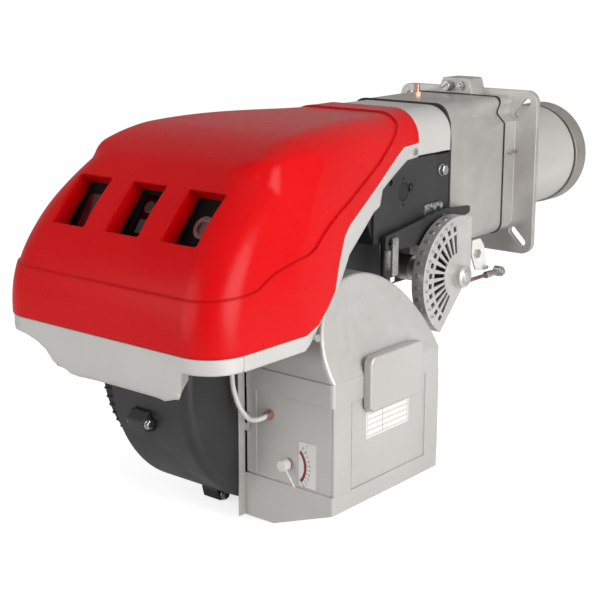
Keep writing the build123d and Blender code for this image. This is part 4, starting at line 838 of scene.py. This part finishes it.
@dataclass
class Moulding:
    """Copy of a moulded node that is sliced finely where it is to be bent."""

    shop: Workshop
    weld: float = 0.0002
    last_weld: float = 0.0004
    sliver: float = 0.0003
    crease: float = 32.0
    ease_factor: float = 0.5
    face_weight: int = 100

    def sliced(self, node: str, pitch: float, start: Vector, end: Vector) -> bmesh.types.BMesh:
        """Cuts a copy of a node's mesh by parallel planes inside a box, so that it can bend there.

        Args:
            node: the node to copy.
            pitch: distance between the planes.
            start: lowest corner of the box.
            end: highest corner of the box.

        Returns:
            The sliced mesh.
        """
        mesh = bmesh.new()
        mesh.from_mesh(self.shop.frame["nodes"][node].data)
        bmesh.ops.remove_doubles(mesh, verts=mesh.verts, dist=self.weld)
        for axis in range(3):
            way = Vector((axis == 0, axis == 1, axis == 2))
            place = start[axis] + pitch
            while place < end[axis]:
                faces = [face for face in mesh.faces if self._meets(face, start, end, way, place)]
                edges = {edge for face in faces for edge in face.edges}
                verts = {vert for face in faces for vert in face.verts}
                geometry = list(verts) + list(edges) + faces
                bmesh.ops.bisect_plane(mesh, geom=geometry, plane_co=way * place, plane_no=way)
                place += pitch
        return mesh

    @staticmethod
    def _meets(face: bmesh.types.BMFace, start: Vector, end: Vector, way: Vector, place: float) -> bool:
        """Whether a face reaches into the box and lies on both sides of a plane."""
        points = [vert.co for vert in face.verts]
        for axis in range(3):
            values = [point[axis] for point in points]
            if max(values) < start[axis] or min(values) > end[axis]:
                return False
        along = [point.dot(way) for point in points]
        return min(along) < place < max(along)

    def ease(self, mesh: bmesh.types.BMesh, verts: list[bmesh.types.BMVert], rounds: int) -> None:
        """Draws some vertices towards their neighbours.

        Args:
            mesh: the mesh that holds them.
            verts: the vertices to move.
            rounds: how often they move.
        """
        for _ in range(rounds):
            bmesh.ops.smooth_vert(mesh, verts=verts, factor=self.ease_factor,
                                  use_axis_x=True, use_axis_y=True, use_axis_z=True)

    def finish(self, mesh: bmesh.types.BMesh, name: str, slot: str, node: str) -> None:
        """Turns the eased mesh into the piece that stands for the node.

        Args:
            mesh: the eased mesh, which is freed.
            name: name of the piece.
            slot: material slot of the record.
            node: the node that it stands for.
        """
        bmesh.ops.remove_doubles(mesh, verts=mesh.verts, dist=self.last_weld)
        bmesh.ops.dissolve_degenerate(mesh, edges=mesh.edges, dist=self.sliver)
        bmesh.ops.triangulate(mesh, faces=mesh.faces)
        data = bpy.data.meshes.new(name)
        mesh.to_mesh(data)
        mesh.free()
        if "custom_normal" in data.attributes:
            data.attributes.remove(data.attributes["custom_normal"])
        for polygon in data.polygons:
            polygon.use_smooth = True
        data.set_sharp_from_angle(angle=math.radians(self.crease))
        piece = placed(name, data)
        weighted = piece.modifiers.new("normals", "WEIGHTED_NORMAL")
        weighted.keep_sharp = True
        weighted.weight = self.face_weight
        self.shop.keep(piece, "hood", slot, (node,))


@dataclass
class SoftHood(Moulding):
    """Hood whose leaning front runs into the roof over a wide round."""

    pitch: float = 0.009
    slice_from: Vector = field(default_factory=lambda: Vector((-0.22, -0.85, 0.012)))
    slice_to: Vector = field(default_factory=lambda: Vector((0.22, -0.60, 0.13)))
    front_point: Vector = field(default_factory=lambda: Vector((0, -0.774, 0.037)))
    front_way: Vector = field(default_factory=lambda: Vector((0, -0.820, 0.572)))
    roof_point: Vector = field(default_factory=lambda: Vector((0, -0.720, 0.109)))
    roof_way: Vector = field(default_factory=lambda: Vector((0, -0.1875, 0.982)))
    blend: float = 0.080
    brow_height: float = 0.080
    brow_rear: float = -0.63
    easing: int = 16

    def build(self) -> None:
        """Rounds the brow of the hood."""
        mesh = self.sliced("hood", self.pitch, self.slice_from, self.slice_to)
        for vert in mesh.verts:
            front = (vert.co - self.front_point).dot(self.front_way)
            roof = (vert.co - self.roof_point).dot(self.roof_way)
            near = max(self.blend - abs(front - roof), 0.0) / self.blend
            share = 0.5 + 0.5 * max(-1.0, min(1.0, (front - roof) / self.blend))
            way = (self.front_way * share + self.roof_way * (1 - share)).normalized()
            vert.co -= way * (near * near * self.blend / 4)
        brow = [vert for vert in mesh.verts if vert.co.z > self.brow_height and vert.co.y < self.brow_rear]
        self.ease(mesh, brow, self.easing)
        self.finish(mesh, "hood_moulding", "hood_red", "hood")


@dataclass
class SoftBase(Moulding):
    """Silver base whose chin is shallow, rounded and drawn in at both ends."""

    pitch: float = 0.007
    slice_from: Vector = field(default_factory=lambda: Vector((-0.19, -0.85, -0.20)))
    slice_to: Vector = field(default_factory=lambda: Vector((0.19, -0.77, -0.126)))
    band: float = -0.1375
    front: float = -0.841
    corner: float = 0.052
    corner_side: float = 0.145
    corner_proud: float = 0.001
    depth_share: float = 0.74
    left_reach: float = 0.176
    left_pull: float = 0.038
    left_power: float = 1.4
    right_reach: float = 0.146
    right_pull: float = 0.80
    right_power: int = 3
    easing: int = 14

    def build(self) -> None:
        """Shapes the chin."""
        mesh = self.sliced("hood_base", self.pitch, self.slice_from, self.slice_to)
        for vert in mesh.verts:
            self._round_corner(vert)
        chin = [vert for vert in mesh.verts if vert.co.z < self.band]
        for vert in chin:
            self._draw_in(vert)
        self.ease(mesh, chin, self.easing)
        self.finish(mesh, "base_moulding", "base_silver", "hood_base")

    def _round_corner(self, vert: bmesh.types.BMVert) -> None:
        """Keeps a vertex behind the hood's rounded front corners."""
        side = abs(vert.co.x) - self.corner_side
        if side > 0 and vert.co.y < self.front + self.corner:
            limit = self.front + self.corner - math.sqrt(max(self.corner ** 2 - side ** 2, 0.0))
            vert.co.y = max(vert.co.y, limit - self.corner_proud)

    def _draw_in(self, vert: bmesh.types.BMVert) -> None:
        """Raises a vertex of the chin and draws it in towards the middle."""
        depth = vert.co.y - self.front
        vert.co.z = self.band + (vert.co.z - self.band) * self.depth_share
        if vert.co.x < 0:
            vert.co.x += self.left_pull * (-vert.co.x / self.left_reach) ** self.left_power
        elif depth > 0:
            vert.co.x -= self.right_pull * depth * (vert.co.x / self.right_reach) ** self.right_power


@dataclass
class DarkRecess:
    """Painted shade: near-black finish on the panel and the control box seen deep inside the hood's windows,
    standing in for the shade in there.
    """

    shop: Workshop
    nodes: tuple[str, ...] = ("control_panel", "control_box")

    def build(self) -> None:
        """Paints the nodes near black as shade."""
        for name in self.nodes:
            self.shop.refinish(name, "deep_black")


@dataclass
class TubeGroove:
    """Dark band where the end ring meets the blast tube: painted shade of the groove there, in the gasket
    finish.
    """

    shop: Workshop
    width: float = 0.0035
    proud: float = 0.0004
    end_gap: float = 0.0001
    sides: int = 96

    def build(self) -> None:
        """Turns the dark band."""
        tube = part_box("blast_tube")[1].x
        radius = tube + self.proud
        start = Vector((0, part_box("tube_end_ring")[0].y - self.width, 0))
        profile = ((0.0, tube), (self.proud, radius), (self.width - self.end_gap, radius))
        joint = turned("tube_groove_shade", start, Vector((0, 1, 0)), profile, self.sides)
        # Painted shade: the dark gasket finish on this band stands in for the shade in the groove.
        self.shop.keep(joint, "boiler_side", "gasket")


@dataclass
class LugBolts:
    """Bright hexagon heads and washers on the clamp bolts of the scroll halves."""

    shop: Workshop
    head_radius: float = 0.0066
    head_height: float = 0.0042
    head_bevel: float = 0.0007
    crown_share: float = 0.84
    washer_radius: float = 0.0078
    washer_height: float = 0.0012
    seat_depth: float = 0.007
    flush: float = 0.0002
    bolt_spacing: float = 0.02

    def build(self) -> None:
        """Puts a head on each end of each clamp bolt."""
        low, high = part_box("housing_lugs")
        points = [v.co.copy() for v in self.shop.frame["nodes"]["housing_lugs"].data.vertices]
        heads = []
        for edge, way in ((low.x, -1.0), (high.x, 1.0)):
            for centre in self._ends(points, edge):
                heads.append(self._head(centre, Vector((way, 0, 0))))
        self.shop.keep(joined("lug_bolt_heads", heads), "burner_body", "zinc")

    def _ends(self, points: list[Vector], edge: float) -> list[Vector]:
        """Centres of the bolt ends that reach a given side."""
        found: list[list[Vector]] = []
        for point in points:
            if abs(point.x - edge) > self.flush:
                continue
            for group in found:
                if (group[0] - point).length < self.bolt_spacing:
                    group.append(point)
                    break
            else:
                found.append([point])
        return [sum(group, Vector()) / len(group) for group in found]

    def _head(self, centre: Vector, way: Vector) -> bpy.types.Object:
        """Hexagon head on a washer."""
        seat = centre - way * self.seat_depth
        tall = self.washer_height + self.head_height
        washer = ((0.0, self.washer_radius), (self.washer_height, self.washer_radius))
        crown = (
            (self.washer_height, self.head_radius),
            (tall - self.head_bevel, self.head_radius),
            (tall, self.head_radius * self.crown_share),
        )
        return joined("head", [
            turned("washer", seat, way, washer),
            turned("crown", seat, way, crown, 6, False),
        ])


@dataclass
class LinkSleeve:
    """Copper sleeve on the middle of the gas link, whose other pieces are bright zinc."""

    shop: Workshop
    radius: float = 0.0033
    axis_x: float = 0.099
    axis_z: float = -0.158
    inset: tuple[float, float] = (0.020, 0.108)
    lip: float = 0.0005
    lip_share: float = 0.9
    sides: int = 20

    def build(self) -> None:
        """Turns the sleeve and gives the link its zinc."""
        start = Vector((self.axis_x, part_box("gas_link")[0].y + self.inset[0], self.axis_z))
        length = self.inset[1] - self.inset[0]
        profile = ((0.0, self.radius * self.lip_share), (self.lip, self.radius), (length, self.radius))
        sleeve = turned("link_sleeve", start, Vector((0, 1, 0)), profile, self.sides)
        self.shop.keep(sleeve, "gas_link", "brass")
        self.shop.refinish("gas_link", "zinc")


@dataclass
class DuctPort:
    """Dark cover in the sighting hole of the duct's side plate, with its side boss."""

    shop: Workshop
    face_inset: float = 0.0012
    root: float = 0.002
    cover_at: tuple[float, float] = (-0.330, 0.010)
    cover: tuple[tuple[float, float], ...] = (
        (0.0, 0.0136), (0.0024, 0.0136), (0.0030, 0.0130), (0.0026, 0.0116), (0.0022, 0.004),
    )
    boss_at: tuple[float, float] = (-0.311, 0.014)
    boss: tuple[tuple[float, float], ...] = (
        (0.0, 0.0056), (0.0052, 0.0056), (0.0058, 0.0050), (0.0050, 0.0030), (0.0020, 0.0026),
    )
    neck_from: Vector = field(default_factory=lambda: Vector((-0.001, -0.326, 0.0095)))
    neck_to: Vector = field(default_factory=lambda: Vector((0.0008, -0.313, 0.0155)))

    def build(self) -> None:
        """Turns the cover and the boss, and joins them by a neck."""
        face = Vector((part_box("duct_side_plate")[1].x - self.face_inset, 0, 0))
        way = Vector((1, 0, 0))
        cover = turned("cover", face + Vector((-self.root, *self.cover_at)), way, self.cover)
        boss = turned("boss", face + Vector((-self.root, *self.boss_at)), way, self.boss)
        neck = slab("neck", face + self.neck_from, face + self.neck_to)
        self.shop.keep(joined("duct_port_cover", [cover, boss, neck]), "burner_body", "black_plastic")


@dataclass
class BoxSeam:
    """Folded sheet lip beside the air box's edge strip, just behind its front wall's face."""

    shop: Workshop
    width: float = 0.011
    lap: float = 0.006
    inset: float = 0.0012
    thick: float = 0.001
    foot: float = 0.002
    rise: float = 0.03

    def build(self) -> None:
        """Lays the lip."""
        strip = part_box("edge_strip")[1].x
        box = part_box("air_box")[0]
        low = Vector((strip - self.lap, box.y + self.inset, box.z + self.foot))
        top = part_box("box_dome")[0].z + self.rise
        high = Vector((strip + self.width, box.y + self.inset + self.thick, top))
        self.shop.keep(slab("box_front_lip", low, high), "burner_body", "sheet_silver")


@dataclass(frozen=True)
class Lamp:
    """Large soft lamp: its place from the burner's middle, its size and its power."""

    name: str
    offset: tuple[float, float, float]
    size: float
    power: float


LAMPS = (
    Lamp("side", (2.8, -0.3, 0.8), 2.4, 79),
    Lamp("front", (-0.9, -3.0, 0.75), 2.4, 33),
    Lamp("top", (0.2, 0.5, 2.8), 2.4, 3),
)


@dataclass
class Studio:
    """Pale floor, soft lamps and the camera."""

    azimuth: float = 39.56
    elevation: float = 14.16
    lens: float = 80.48
    eye: tuple[float, float, float] = (1.2195, -1.9226, 0.3361)
    ambient: float = 0.34
    floor_half: float = 60.0
    floor_gap: float = 0.0005
    floor_glow: float = 0.72

    def build(self) -> None:
        """Sets up the whole studio."""
        low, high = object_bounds()
        self._world()
        self._floor(low.z - self.floor_gap)
        for lamp in LAMPS:
            self._lamp(lamp, (low + high) / 2)
        self._camera()

    def _world(self) -> None:
        """Even soft light, and plain white where it is seen or shows through glass."""
        world = bpy.data.worlds.new("studio")
        bpy.context.scene.world = world
        world.use_nodes = True
        tree = world.node_tree
        shown = tree.nodes["Background"]
        shown.inputs["Color"].default_value = (1.0, 1.0, 1.0, 1.0)
        ray = tree.nodes.new("ShaderNodeLightPath")
        seen = tree.nodes.new("ShaderNodeMath")
        seen.operation = "MAXIMUM"
        tree.links.new(ray.outputs["Is Camera Ray"], seen.inputs[0])
        tree.links.new(ray.outputs["Is Transmission Ray"], seen.inputs[1])
        strength = tree.nodes.new("ShaderNodeMapRange")
        strength.inputs["To Min"].default_value = self.ambient
        strength.inputs["To Max"].default_value = 1.0
        tree.links.new(seen.outputs[0], strength.inputs["Value"])
        tree.links.new(strength.outputs["Result"], shown.inputs["Strength"])

    def _floor(self, height: float) -> None:
        """Plain pale floor that keeps the object's shadow."""
        mesh = bmesh.new()
        half = self.floor_half
        corners = [(-half, -half), (half, -half), (half, half), (-half, half)]
        mesh.faces.new([mesh.verts.new((x, y, height)) for x, y in corners])
        data = bpy.data.meshes.new("floor")
        mesh.to_mesh(data)
        mesh.free()
        material = bpy.data.materials.new("pale_floor")
        material.use_nodes = True
        tree = material.node_tree
        shader = tree.nodes["Principled BSDF"]
        shader.inputs["Base Color"].default_value = (0.86, 0.86, 0.86, 1.0)
        shader.inputs["Roughness"].default_value = 0.9
        shader.inputs["Emission Color"].default_value = (1.0, 1.0, 1.0, 1.0)
        ray = tree.nodes.new("ShaderNodeLightPath")
        glow = tree.nodes.new("ShaderNodeMath")
        glow.operation = "MULTIPLY"
        glow.inputs[1].default_value = self.floor_glow
        tree.links.new(ray.outputs["Is Camera Ray"], glow.inputs[0])
        tree.links.new(glow.outputs[0], shader.inputs["Emission Strength"])
        data.materials.append(material)
        placed("floor", data)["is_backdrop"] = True

    def _lamp(self, lamp: Lamp, centre: Vector) -> None:
        """Sets up one lamp so that it faces the burner's middle."""
        data = bpy.data.lights.new(lamp.name, "AREA")
        data.shape = "DISK"
        data.size = lamp.size
        data.energy = lamp.power
        offset = Vector(lamp.offset)
        light = bpy.data.objects.new(lamp.name, data)
        light.location = centre + offset
        light.rotation_mode = "QUATERNION"
        light.rotation_quaternion = (-offset).to_track_quat("-Z", "Y")
        bpy.context.scene.collection.objects.link(light)

    def _camera(self) -> None:
        """Camera on the operator's side, a little above the burner."""
        data = bpy.data.cameras.new("camera")
        data.lens = self.lens
        data.sensor_width = 36.0
        turn, rise = math.radians(self.azimuth), math.radians(self.elevation)
        look = Vector((-math.sin(turn) * math.cos(rise), math.cos(turn) * math.cos(rise), -math.sin(rise)))
        camera = bpy.data.objects.new("camera", data)
        camera.location = self.eye
        camera.rotation_mode = "QUATERNION"
        camera.rotation_quaternion = look.to_track_quat("-Z", "Y")
        bpy.context.scene.collection.objects.link(camera)
        bpy.context.scene.camera = camera


ASSEMBLIES = (
    SoftHood,
    SoftBase,
    DarkRecess,
    TubeGroove,
    CamFace,
    LinkSleeve,
    LugBolts,
    DuctPort,
    BoxSeam,
    DamperScale,
    RatingLines,
)


def main() -> None:
    """Loads the frame and builds every sub-assembly in order."""
    logging.basicConfig(level=logging.INFO, format="%(message)s")
    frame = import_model()
    bpy.context.scene.view_settings.view_transform = "Standard"
    shop = Workshop(frame)
    shop.paint()
    for assembly in ASSEMBLIES:
        assembly(shop).build()
    Studio().build()


if __name__ == "__main__":
    main()
